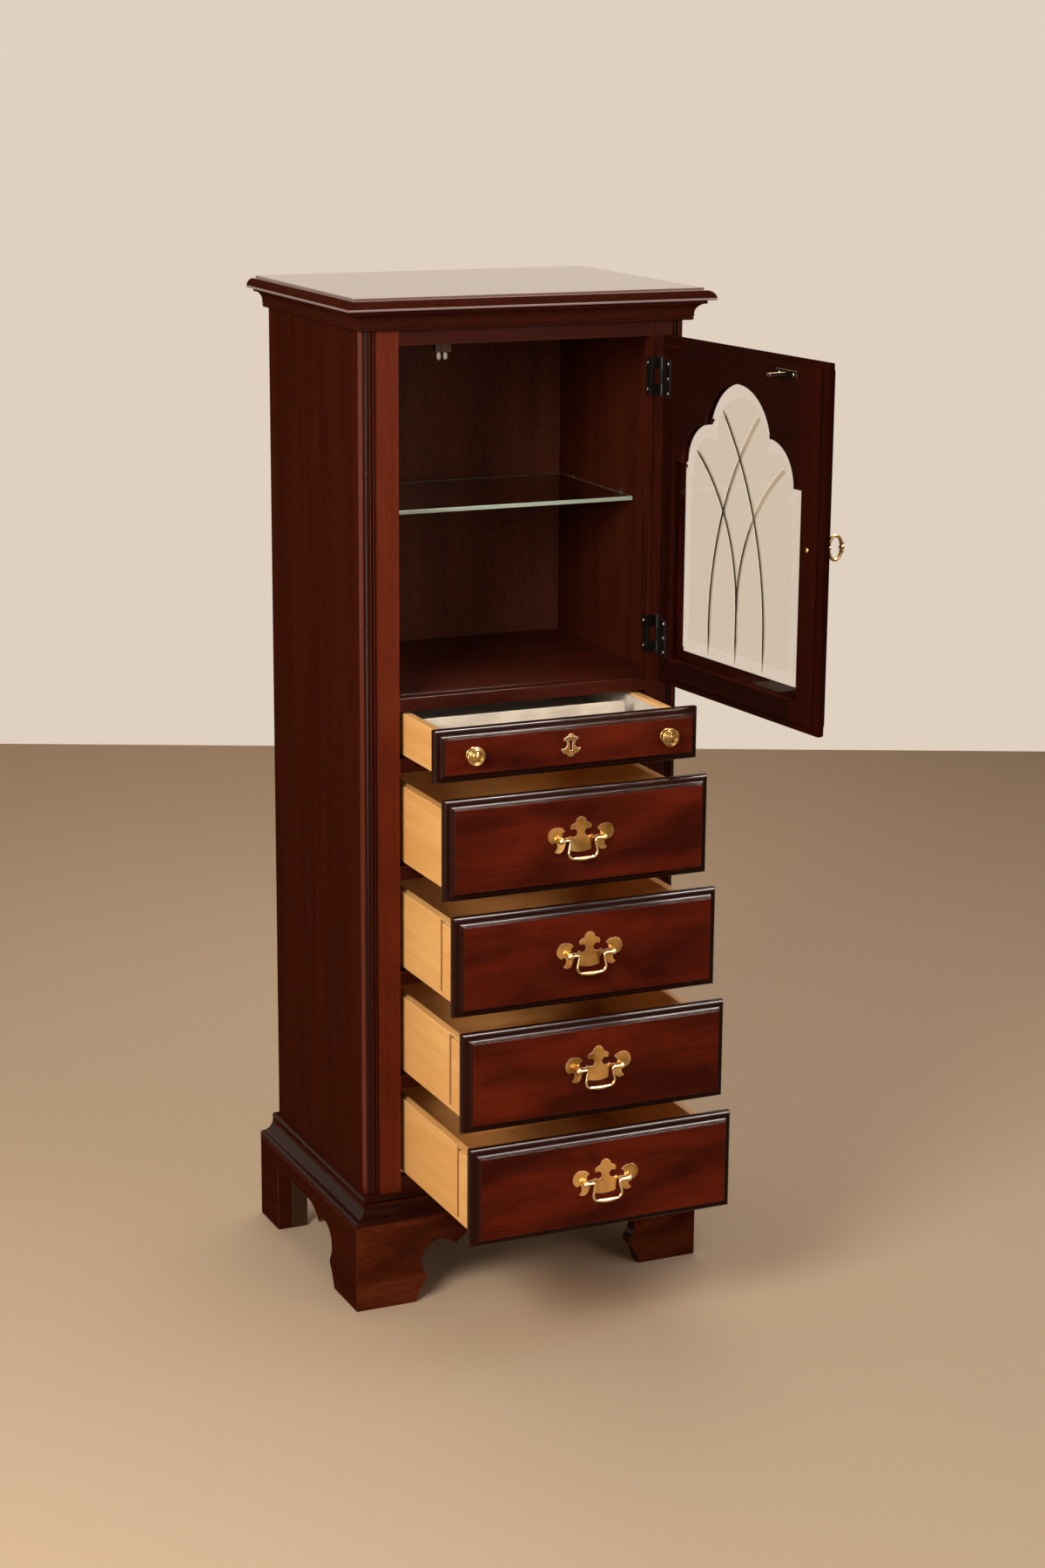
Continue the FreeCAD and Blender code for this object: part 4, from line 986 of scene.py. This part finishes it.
@dataclass(frozen=True)
class Screw:
    """A small slotted screw, or a plain pin where the slot is nought, with a low domed head."""

    at_mm: tuple[float, float, float]
    facing: Facing
    radius_mm: float = 2.4
    rise_mm: float = 0.9
    slot_mm: float = 0.6
    slot_deg: float = 35.0
    slot_floor: float = 0.4
    foot_mm: float = 0.01

    def add(self, bm: BMesh) -> None:
        """Cuts a cap from a flattened ball, sinks its driver slot and turns it to its place.

        Args:
            bm: Mesh that takes the head.
        """
        head = bmesh.new()
        bmesh.ops.create_uvsphere(head, u_segments=20, v_segments=12, radius=1.0)
        size = Vector((self.radius_mm, self.radius_mm, self.rise_mm)) * MM
        bmesh.ops.scale(head, verts=head.verts, vec=size)
        self.split(head, (0.0, 0.0, 0.0), (0.0, 0.0, 1.0), clear_inner=True)
        bmesh.ops.holes_fill(head, edges=[e for e in head.edges if e.is_boundary])
        if self.slot_mm:
            self.sink_slot(head)
        bmesh.ops.recalc_face_normals(head, faces=head.faces)
        turn = Vector(self.facing.value).to_track_quat("Z", "Y").to_matrix().to_4x4()
        spin = Matrix.Rotation(math.radians(self.slot_deg), 4, "Z")
        place = Matrix.Translation(Vector(self.at_mm) * MM) @ turn @ spin
        bmesh.ops.transform(head, verts=head.verts, matrix=place)
        loose = bpy.data.meshes.new("screw_head")
        head.to_mesh(loose)
        head.free()
        bm.from_mesh(loose)
        bpy.data.meshes.remove(loose)

    def sink_slot(self, head: BMesh) -> None:
        """Sinks the driver slot into the dome.

        Args:
            head: Mesh of the head, standing on its flat.
        """
        half = self.slot_mm * MM / 2
        for side in (-half, half):
            self.split(head, (side, 0.0, 0.0), (1.0, 0.0, 0.0))
        middles = ((f, f.calc_center_median()) for f in head.faces)
        floor = [f for f, at in middles if abs(at.x) < half and at.z > self.foot_mm * MM]
        made = bmesh.ops.extrude_face_region(head, geom=floor)["geom"]
        bmesh.ops.delete(head, geom=floor, context="FACES")
        sunk = [g for g in made if isinstance(g, BMVert)]
        bmesh.ops.scale(head, verts=sunk, vec=(1.0, 1.0, self.slot_floor))
        bmesh.ops.remove_doubles(head, verts=head.verts, dist=JOIN_MM * MM)

    def split(
        self, head: BMesh, at: Sequence[float], normal: Sequence[float], clear_inner: bool = False
    ) -> None:
        """Cuts the whole head along a plane, and drops what lies behind it if asked to."""
        geom = [*head.verts, *head.edges, *head.faces]
        bmesh.ops.bisect_plane(
            head, geom=geom, plane_co=at, plane_no=normal, clear_inner=clear_inner
        )


def drive_screws(
    name: str,
    screws: Sequence[Screw],
    finish: Finish,
    body: str,
    turn: Callable[[BMesh], None] | None = None,
) -> None:
    """Adds a set of screw heads as one piece.

    Args:
        name: Name of the piece.
        screws: The heads.
        finish: Their metal.
        body: Body that they ride on.
        turn: Moves the finished mesh to its place, where the heads are given elsewhere.
    """
    bm = bmesh.new()
    for screw in screws:
        screw.add(bm)
    settle(bm)
    if turn:
        turn(bm)
    soften(bm)
    add_piece(name, bm, [finish], body)


@dataclass
class Carcase:
    """The still case: boards, mouldings and base."""

    half_width_mm: float = 234.0
    front_mm: float = -183.5
    # Tones of the left and right post: the right one painted near black as the shadow the open door
    # casts.
    post_tones_right_painted_shadow: tuple[float, float] = (1.0, 0.0)

    def mitred(self, point: Vector) -> Grain:
        """Grain of the moulding length that holds a point: the front one or a side one.

        Args:
            point: A point of the chest in metres.

        Returns:
            The grain there.
        """
        beyond_side = abs(point.x) - self.half_width_mm * MM
        beyond_front = self.front_mm * MM - point.y
        return Grain.ACROSS if beyond_front > beyond_side else Grain.DEEP

    def dress(self) -> None:
        """Dresses every board of the case."""
        glossy = {"moulded": CHERRY_MOULDED_SHADED, "edge": CHERRY_ARRIS}
        for node, finish, grain, arris in (
            ("side_panels", CHERRY, Grain.UP, 0.7),
            ("front_rails", CHERRY_BETWEEN, Grain.ACROSS, 0.7),
            ("back_panel", CHERRY_BACK, Grain.UP, 0.5),
            ("cupboard_ceiling", CHERRY_INSIDE, Grain.ACROSS, 0.5),
            ("cupboard_floor", CHERRY_INSIDE, Grain.ACROSS, 0.5),
            ("base_moulding", CHERRY, self.mitred, 0.5),
            ("base_front", CHERRY_BASE, Grain.ACROSS, 0.9),
            ("base_sides", CHERRY, Grain.DEEP, 0.9),
        ):
            EasedCopy(node, finish, grain, arris, **glossy).dress()
        EasedCopy(
            "front_posts", CHERRY_FRAME, Grain.UP, arris_mm=0.5, tones=self.post_tones_right_painted_shadow, **glossy
        ).dress()
        for node, finish, grain, arris, moulded, edge in (
            ("crown_moulding", CHERRY_CROWN, self.mitred, 0.5, CHERRY_CROWN, CHERRY_ARRIS),
            ("top_board", CHERRY_TOP, Grain.ACROSS, 0.6, CHERRY_CROWN, CHERRY_CROWN),
            ("base_blocks", POPLAR, Grain.UP, 0.8, None, None),
            ("drawer_guides", POPLAR, Grain.DEEP, 0.5, None, None),
        ):
            EasedCopy(node, finish, grain, arris, moulded, edge).dress()


@dataclass
class CupboardFittings:
    """Shelf, pins, hinge leaves on the post, and catch inside the cupboard."""

    leaf_face_mm: float = 183.5
    leaf_screw_depth_mm: float = -173.6
    leaf_screws_mm: tuple[float, float] = (-18.0, 18.0)
    shelf_seam_mm: float = 0.6
    shelf_rim_deg: float = 30.0

    def lay_shelf(self) -> None:
        """Copies the shelf with seamed edges, so that its edges get the second finish."""
        bm = joined_copy("glass_shelf")
        flatten(bm)
        limit = math.radians(self.shelf_rim_deg)
        bmesh.ops.bevel(
            bm,
            geom=[e for e in bm.edges if e.calc_face_angle(0.0) > limit],
            offset=self.shelf_seam_mm * MM,
            affect="EDGES",
            segments=2,
            profile=0.5,
            material=-1,
            clamp_overlap=True,
        )
        for face in bm.faces:
            face.material_index = 0 if abs(face.normal.z) > SQUARE_COS else 1
        add_piece("glass_shelf_pane", bm, [GLASS, GLASS_EDGE], "case", ["glass_shelf"])

    def dress(self) -> None:
        """Finishes the still fittings and the two rollers."""
        self.lay_shelf()
        finish_node("shelf_pins", ZINC)
        EasedCopy("catch_body", STEEL, arris_mm=0.4).dress()
        for side in ("left", "right"):
            finish_node(f"catch_roller_{side}", NYLON)
        finish_node("hinge_pins", BLACK)
        EasedCopy("hinge_frame_leaves", BLACK, arris_mm=0.35).dress()
        screws = [
            Screw((self.leaf_face_mm, self.leaf_screw_depth_mm, height + up), Facing.LEFT)
            for height in HINGE_HEIGHTS_MM
            for up in self.leaf_screws_mm
        ]
        drive_screws("hinge_frame_screws", screws, ZINC, "case")


@dataclass
class WheelCut:
    """One line cut in the door glass, given in the door's shut place in millimetres."""

    foot: tuple[float, float]
    bend: float
    radius: float
    sweep_deg: float
    # Widths of the flank painted pale as a highlight, the core painted as shade, and the flank
    # painted as shade.
    strips_mm: tuple[float, float, float] = (1.8, 3.8, 3.2)
    lift_mm: float = 0.02
    height_mm: float = 0.12
    taper_mm: float = 30.0
    tip_share: float = 0.15

    def cut(self, bm: BMesh, glass_back: float, turn: float) -> None:
        """Runs a low section of three strips up the line: straight, then round an arc.

        The foot is pointed. A line that bends to the hinge side ends in a point too, the others
        end square.

        Args:
            bm: Mesh that takes the line.
            glass_back: Depth of the pane's inner face.
            turn: 1 for a line that bends to positive x, -1 for its mirror image.
        """
        x, low = -turn * self.foot[0], self.foot[1]
        pale, core, shade = self.strips_mm
        section = (
            (core / 2 + pale, self.lift_mm),
            (core / 2, self.height_mm),
            (-core / 2, self.height_mm),
            (-core / 2 - shade, self.lift_mm),
        )
        verts = [
            bm.verts.new(Vector((x + across * self.tip_share, glass_back + rise, low)) * MM)
            for across, rise in section
        ]
        row: list[Any] = [bm.edges.new((verts[i - 1], verts[i])) for i in range(len(verts))]
        straight = self.bend - low - self.taper_mm
        about_line = Matrix.Translation(Vector((-x, 0, 0)) * MM)
        for rise, spread in ((self.taper_mm, 1 / self.tip_share), (straight, 1.0)):
            edges = [g for g in row if isinstance(g, BMEdge)]
            made = bmesh.ops.extrude_edge_only(bm, edges=edges)["geom"]
            row = [g for g in made if not isinstance(g, BMFace)]
            tops = [g for g in row if isinstance(g, BMVert)]
            bmesh.ops.translate(bm, verts=tops, vec=Vector((0, 0, rise)) * MM)
            bmesh.ops.scale(bm, verts=tops, vec=(spread, 1.0, 1.0), space=about_line)
        end = bmesh.ops.spin(
            bm,
            geom=row,
            cent=Vector((x + turn * self.radius, glass_back, self.bend)) * MM,
            axis=(0.0, 1.0, 0.0),
            angle=turn * math.radians(self.sweep_deg),
            steps=24,
            use_merge=False,
        )["geom_last"]
        if turn > 0:
            tip = [g for g in end if isinstance(g, BMVert)]
            middle = sum((v.co for v in tip), Vector()) / len(tip)
            bmesh.ops.scale(
                bm,
                verts=tip,
                vec=(self.tip_share, 1.0, self.tip_share),
                space=Matrix.Translation(-middle),
            )


@dataclass
class Door:
    """The glazed door: frame boards, beads, pane, pull, strike and wheel-cut lines.

    Places are those of the shut door.
    """

    hinge_mm: tuple[float, float] = (199.0, -187.7)
    glass_back_mm: float = -183.9
    sight_mm: tuple[float, float] = (137.0, 912.3)
    bead_mm: tuple[float, float] = (153.5, 895.8)
    bead_arris_mm: float = 0.3
    step_mm: float = 1172.0
    joint_mm: float = 0.05
    joint_end_mm: float = 0.1
    bevel_cos: tuple[float, float] = (0.8, 0.999)
    stop_mm: tuple[tuple[float, float], ...] = (
        (137.2, 150.4),
        (-183.7, -178.6),
        (1172.1, 1188.4),
    )
    leaf_face_mm: tuple[float, float] = (168.5, -177.0)
    leaf_screws_mm: tuple[float, ...] = (-20.0, 0.0, 20.0)
    strike_mm: tuple[float, float, float] = (-111.0, -177.1, 1316.7)
    strike_screws_mm: tuple[float, float] = (-16.0, 16.0)
    # Lean up to which the cores keep their painted shade, and the step by which it fades.
    dark_until_deg: float = -22.0
    fade_deg: float = 4.0
    core_cos: float = 0.9999
    back_cos: float = -0.9
    flank_slope: float = 0.001
    lines: list[WheelCut] = field(
        default_factory=lambda: [
            WheelCut(foot=(65.0, 919.0), bend=960.0, radius=453.0, sweep_deg=40.3),
            WheelCut(foot=(0.0, 919.0), bend=990.0, radius=250.0, sweep_deg=54.0),
        ]
    )

    def pivot(self) -> Vector:
        """A point of the hinge line in metres."""
        return Vector((self.hinge_mm[0], self.hinge_mm[1], 0.0)) * MM

    def swing(self, bm: BMesh) -> None:
        """Turns a mesh from the door's shut place to the open place at rest."""
        turn = Matrix.Rotation(math.radians(DOOR_OPEN_DEG), 3, "Z")
        bmesh.ops.rotate(bm, verts=bm.verts, cent=self.pivot(), matrix=turn)

    def shut(self, point: Vector) -> Vector:
        """Where a point of the open door is in millimetres when the door is shut."""
        turn = Matrix.Rotation(-math.radians(DOOR_OPEN_DEG), 3, "Z")
        return (turn @ (point - self.pivot()) + self.pivot()) / MM

    def bead_grain(self, point: Vector) -> Grain:
        """Grain of a glass bead: up the sides, along the foot, mitred between.

        Args:
            point: A point of the bead in metres, on the open door.

        Returns:
            The grain there.
        """
        place = self.shut(point)
        inward = self.bead_mm[0] - abs(place.x)
        return Grain.DOOR_WIDTH if inward > place.z - self.bead_mm[1] else Grain.UP

    def flush(self, point: Vector) -> bool:
        """Whether a point lies in the joint between a stile and a rail.

        Args:
            point: A point of the frame in metres, on the open door.

        Returns:
            True in the joint, where the boards lie flush and the arris isn't eased.
        """
        place = self.shut(point)
        half_width, foot = self.sight_mm
        beside_arch = place.z > self.step_mm - self.joint_end_mm
        beside_foot = place.z < foot + self.joint_end_mm
        at_joint = abs(abs(place.x) - half_width) < self.joint_mm
        return at_joint and (beside_arch or beside_foot)

    def lay_pane(self) -> None:
        """Copies the pane, so that its bevel gets the second finish."""
        bm = joined_copy("door_glass")
        low, high = self.bevel_cos
        for face in bm.faces:
            face.material_index = 1 if low < abs(face.normal.dot(DOOR_THROUGH)) < high else 0
        add_piece("door_glass_pane", bm, [GLASS_PANE, GLASS_BEVEL], "door", ["door_glass"])

    def stop_beads(self) -> None:
        """Fills the end of each stile's rabbet, beside the foot of the arch, with a small block."""
        bm = bmesh.new()
        for side in (-1.0, 1.0):
            low, high = (
                Vector((side * end[0], end[1], end[2])) * MM for end in zip(*self.stop_mm)
            )
            size = Vector([abs(b - a) for a, b in zip(low, high)])
            place = Matrix.LocRotScale((low + high) / 2, None, size)
            bmesh.ops.create_cube(bm, size=1.0, matrix=place)
        self.swing(bm)
        blocks = EasedCopy("glass_beads", CHERRY_STILE, Grain.UP, self.bead_arris_mm)
        blocks.ease(bm)
        blocks.lay_grain(bm)
        soften(bm)
        add_piece("glass_bead_stops", bm, [CHERRY_STILE], "door")

    def cut_tone(self, face: BMFace) -> int:
        """Which finish of the wheel cuts a face of a line takes.

        Args:
            face: A face of the shut door's lines.

        Returns:
            Its place among the cores, the two flanks and the clear back. A core's painted shade fades
            out where it leans to the lock side.
        """
        cores = len(CUT_CORES)
        if face.normal.y > self.core_cos:
            runs = (edge.verts[1].co - edge.verts[0].co for edge in face.edges)
            run = max(runs, key=lambda along: abs(along.z))
            lean = math.atan2(run.x * math.copysign(1.0, run.z), abs(run.z))
            steps = math.ceil((self.dark_until_deg - math.degrees(lean)) / self.fade_deg)
            return min(max(steps, 0), cores)
        if face.normal.y < self.back_cos:
            return cores + 2
        return cores + (1 if face.normal.x > self.flank_slope else 0)

    def cut_lines(self) -> None:
        """Cuts the crossing lines of the tracery, each with its mirror image."""
        bm = bmesh.new()
        for line in self.lines:
            for turn in (-1.0, 1.0):
                line.cut(bm, self.glass_back_mm, turn)
        bmesh.ops.remove_doubles(bm, verts=bm.verts, dist=JOIN_MM * MM)
        bmesh.ops.holes_fill(bm, edges=[e for e in bm.edges if e.is_boundary])
        bmesh.ops.recalc_face_normals(bm, faces=bm.faces)
        settle(bm)
        for face in bm.faces:
            face.material_index = self.cut_tone(face)
        self.swing(bm)
        finishes = [*CUT_CORES, CUT_SHADE, CUT_PAINTED_HIGHLIGHT, GLASS_PANE]
        add_piece("door_glass_wheel_cuts", bm, finishes, "door")

    def dress(self) -> None:
        """Dresses the door's boards and finishes its glass and metal."""
        for node, finish, grain in (
            ("door_hinge_stile", CHERRY_STILE, Grain.UP),
            ("door_lock_stile", CHERRY_STILE, Grain.UP),
            ("door_arched_rail", CHERRY_RAIL, Grain.DOOR_WIDTH),
            ("door_bottom_rail", CHERRY_RAIL, Grain.DOOR_WIDTH),
        ):
            EasedCopy(node, finish, grain, arris_mm=0.5, flush=self.flush).dress()
        EasedCopy("glass_beads", CHERRY_STILE, self.bead_grain, self.bead_arris_mm).dress()
        self.stop_beads()
        self.lay_pane()
        finish_node("door_pull", BRASS)
        EasedCopy("catch_strike", STEEL, arris_mm=0.3).dress()
        EasedCopy("hinge_door_leaves", BLACK, arris_mm=0.35).dress()
        x, y = self.leaf_face_mm
        leaf_screws = [
            Screw((x, y, z + up), Facing.BACK)
            for z in HINGE_HEIGHTS_MM
            for up in self.leaf_screws_mm
        ]
        drive_screws("hinge_door_screws", leaf_screws, ZINC, "door", self.swing)
        x, y, z = self.strike_mm
        plate_screws = [Screw((x + side, y, z), Facing.BACK) for side in self.strike_screws_mm]
        drive_screws("catch_strike_screws", plate_screws, ZINC, "door", self.swing)
        self.cut_lines()


@dataclass
class Drawer:
    """A drawer: moulded cherry front and maple box."""

    name: str
    filler_mm: float = 8.0
    # Width and rise of the painted shadow behind each filler strip.
    shadow_mm: float = 17.0
    shadow_rise_mm: float = 0.15
    front_tones: tuple[float, ...] = ()

    def dress_box(self) -> None:
        """Dresses the front and the box."""
        EasedCopy(
            f"{self.name}_front",
            CHERRY_FRONT,
            Grain.ACROSS,
            arris_mm=0.5,
            moulded=CHERRY_MOULDED_SHADED,
            edge=CHERRY_ARRIS,
            raised=True,
            tones=self.front_tones,
        ).dress()
        for board, grain, arris in (
            ("sides", Grain.DEEP, 0.8),
            ("back", Grain.ACROSS, 0.8),
            ("bottom", Grain.DEEP, 0.4),
        ):
            EasedCopy(f"{self.name}_{board}", MAPLE, grain, arris).dress()

    def draw_filler_shadows(self) -> None:
        """Paints a dull brown strip on the side behind each filler strip, as the shadow that the
        filler casts.
        """
        strips = joined_copy(f"{self.name}_sides")
        bm = bmesh.new()
        for group in islands(strips):
            low, high = (
                Vector([pick(v.co[i] for v in group) for i in range(3)]) for pick in (min, max)
            )
            if high.x - low.x > self.filler_mm * MM:
                continue
            face = min(low.x, high.x, key=abs)
            size = Vector((2 * self.shadow_rise_mm, self.shadow_mm, (high.z - low.z) / MM)) * MM
            centre = Vector((face, high.y + self.shadow_mm / 2 * MM, (low.z + high.z) / 2))
            place = Matrix.LocRotScale(centre, None, size)
            bmesh.ops.create_cube(bm, size=1.0, matrix=place)
        strips.free()
        if bm.verts:
            add_piece(f"{self.name}_painted_shadow_strips", bm, [FILLER_SHADOW], self.name)
        else:
            bm.free()

    def dress(self) -> None:
        """Dresses a deep drawer with its pierced pull."""
        self.dress_box()
        self.draw_filler_shadows()
        plate = f"{self.name}_pull_plate"
        EasedCopy(
            plate, BRASS_PLATE, arris_mm=0.9, moulded=BRASS_BRIGHT, edge=BRASS_EDGE
        ).dress()
        finish_node(f"{self.name}_bail", BRASS_BRIGHT)


@dataclass
class JewelleryDrawer(Drawer):
    """The shallow drawer with its lined tray, knobs and key plate."""

    name: str = "jewellery_drawer"
    front_tones: tuple[float, ...] = (0.0,)
    plate_mm: tuple[float, float, float] = (0.0, -333.2, 815.8)
    pins_mm: tuple[float, float] = (11.3, -12.0)
    pin_radius_mm: float = 1.3

    def dress(self) -> None:
        """Dresses the drawer, its tray and its brass."""
        self.dress_box()
        EasedCopy(f"{self.name}_tray", FELT, Grain.DEEP, arris_mm=1.1).dress()
        finish_node(f"{self.name}_knobs", BRASS)
        plate = f"{self.name}_escutcheon"
        EasedCopy(
            plate, BRASS_PLATE, arris_mm=0.5, moulded=BRASS_PLATE, edge=BRASS_EDGE
        ).dress()
        x, y, z = self.plate_mm
        pins = [
            Screw((x, y, z + up), Facing.FORWARD, self.pin_radius_mm, slot_mm=0.0)
            for up in self.pins_mm
        ]
        drive_screws(f"{self.name}_plate_pins", pins, BRASS, self.name)


@dataclass(frozen=True)
class Lamp:
    """A soft area lamp. One that doesn't light matt surfaces only glints."""

    name: str
    at_m: tuple[float, float, float]
    target_m: tuple[float, float, float]
    size_m: tuple[float, float]
    power_w: float
    lights_matt: bool = True
    tint: str = "#fff3ea"

    def hang(self) -> None:
        """Hangs the lamp and points it."""
        data = bpy.data.lights.new(self.name, "AREA")
        data.shape = "RECTANGLE"
        data.size, data.size_y = self.size_m
        data.energy = self.power_w
        data.color = colour(self.tint)[:3]
        lamp = bpy.data.objects.new(self.name, data)
        lamp.location = self.at_m
        aim = Vector(self.target_m) - Vector(self.at_m)
        lamp.rotation_euler = aim.to_track_quat("-Z", "Y").to_euler()
        lamp.visible_camera = False
        lamp.visible_diffuse = self.lights_matt
        bpy.context.scene.collection.objects.link(lamp)


# Each lamp's place, target, size and power.
LAMPS = (
    Lamp("key", (-1.9, -1.6, 1.85), (0.0, -0.2, 0.7), (1.0, 1.0), 72.0),
    Lamp("fill", (1.2, -3.6, 2.0), (0.0, -0.2, 0.8), (1.8, 1.8), 34.0),
    Lamp("strip", (1.1, -1.0, 3.0), (0.0, -0.3, 0.7), (0.3, 2.0), 700.0, lights_matt=False),
    Lamp("glint", (-2.1, -1.1, 0.6), (-0.2, -0.2, 1.0), (0.25, 0.9), 20.0, lights_matt=False),
    Lamp("top", (0.3, 1.0, 3.0), (0.0, 0.0, 0.9), (2.0, 2.0), 40.0),
)


@dataclass
class Studio:
    """Pale floor, soft light and the camera at the photograph's viewing angle."""

    camera_m: tuple[float, float, float] = (-1.67267, -3.88505, 1.75910)
    yaw_deg: float = 24.279
    pitch_deg: float = 14.253
    roll_deg: float = -0.422
    lens_mm: float = 69.80
    sensor_mm: float = 36.0
    floor_half_m: float = 9.0
    wall_half_m: float = 6.0
    wall_m: float = 7.29
    floor_hex: str = "#b8a48b"
    wall_hex: str = "#e0d0c0"
    paint_roughness: float = 0.9
    paint_specular: float = 0.1
    room_light: float = 0.32
    room_seen: float = 1.0

    def ahead(self) -> Vector:
        """The level direction in which the camera looks."""
        yaw = math.radians(self.yaw_deg)
        return Vector((math.sin(yaw), math.cos(yaw), 0.0))

    def set_camera(self) -> None:
        """Sets the camera from its place and three angles."""
        pitch, roll = math.radians(self.pitch_deg), math.radians(self.roll_deg)
        ahead, up = self.ahead(), Vector((0.0, 0.0, 1.0))
        right = Vector((ahead.y, -ahead.x, 0.0))
        look = ahead * math.cos(pitch) - up * math.sin(pitch)
        down = -ahead * math.sin(pitch) - up * math.cos(pitch)
        tilted_right = right * math.cos(roll) + down * math.sin(roll)
        tilted_down = down * math.cos(roll) - right * math.sin(roll)
        turn = Matrix((tilted_right, -tilted_down, -look)).transposed().to_4x4()
        data = bpy.data.cameras.new("camera")
        data.sensor_fit = "VERTICAL"
        data.sensor_height = self.sensor_mm
        data.lens = self.lens_mm
        camera = bpy.data.objects.new("camera", data)
        camera.matrix_world = Matrix.Translation(self.camera_m) @ turn
        bpy.context.scene.collection.objects.link(camera)
        bpy.context.scene.camera = camera

    def add_stage(self, name: str, size: float, place: Matrix, tint: str) -> bpy.types.NodeTree:
        """Adds a square of matt paint that isn't part of the object.

        Args:
            name: Name of the square.
            size: Half its side in metres.
            place: Where it stands.
            tint: Its colour.

        Returns:
            The node tree of its paint.
        """
        bm = bmesh.new()
        bmesh.ops.create_grid(bm, x_segments=1, y_segments=1, size=size, matrix=place)
        mesh = bpy.data.meshes.new(name)
        bm.to_mesh(mesh)
        bm.free()
        square = bpy.data.objects.new(name, mesh)
        bpy.context.scene.collection.objects.link(square)
        paint = bpy.data.materials.new(f"matt_{name}_paint")
        paint.use_nodes = True
        values = {
            "Base Color": colour(tint),
            "Roughness": self.paint_roughness,
            "Specular IOR Level": self.paint_specular,
        }
        feed(paint.node_tree.nodes["Principled BSDF"], values)
        mesh.materials.append(paint)
        return paint.node_tree

    def seen_directly(self, tree: bpy.types.NodeTree) -> bpy.types.Node:
        """Tells the rays that see a surface from those that light the object.

        Args:
            tree: Node tree that takes the nodes.

        Returns:
            A node that gives one for rays from the camera, mirrors and glass, else nought.
        """
        path = add_node(tree, "ShaderNodeLightPath")
        found: Any = path.outputs["Is Camera Ray"]
        for kind in ("Is Glossy Ray", "Is Transmission Ray"):
            rays = (found, path.outputs[kind])
            found = add_node(tree, "ShaderNodeMath", rays, operation="MAXIMUM")
        return found

    def build_room(self) -> None:
        """Lays the floor and stands a pale wall behind, square to the camera.

        The wall is clear from its back, so that it hides nothing from other sides.
        """
        self.add_stage("floor", self.floor_half_m, Matrix.Identity(4), self.floor_hex)
        foot = Vector((self.camera_m[0], self.camera_m[1], 0.0)) + self.ahead() * self.wall_m
        turn = Matrix.Rotation(-math.radians(self.yaw_deg), 4, "Z")
        turn = turn @ Matrix.Rotation(math.radians(90.0), 4, "X")
        place = Matrix.Translation(foot) @ turn
        tree = self.add_stage("wall", self.wall_half_m, place, self.wall_hex)
        paint = tree.nodes["Principled BSDF"]
        glow = add_node(
            tree, "ShaderNodeEmission", {"Color": colour(self.wall_hex), "Strength": self.room_seen}
        )
        clear = add_node(tree, "ShaderNodeBsdfTransparent")
        behind = add_node(tree, "ShaderNodeNewGeometry").outputs["Backfacing"]
        front = add_node(tree, "ShaderNodeMixShader", (self.seen_directly(tree), paint, glow))
        wall = add_node(tree, "ShaderNodeMixShader", (behind, front, clear))
        feed(tree.nodes["Material Output"], {"Surface": wall})

    def light(self) -> None:
        """Lights a pale room with soft lamps and two strips that only glint."""
        world = bpy.data.worlds.new("pale_room")
        bpy.context.scene.world = world
        world.use_nodes = True
        tree = world.node_tree
        limits = (self.seen_directly(tree), 0.0, 1.0, self.room_light, self.room_seen)
        level = add_node(tree, "ShaderNodeMapRange", limits)
        feed(tree.nodes["Background"], {"Color": colour(self.wall_hex), "Strength": level})
        for lamp in LAMPS:
            lamp.hang()
        bpy.context.scene.view_settings.view_transform = "Standard"


def main() -> None:
    """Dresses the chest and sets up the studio."""
    logging.basicConfig(level=logging.INFO, format="%(name)s %(message)s")
    studio = Studio()
    studio.set_camera()
    Carcase().dress()
    CupboardFittings().dress()
    Door().dress()
    JewelleryDrawer().dress()
    for number in range(1, DEEP_DRAWERS + 1):
        Drawer(f"drawer_{number}").dress()
    studio.build_room()
    studio.light()


if __name__ == "__main__":
    main()
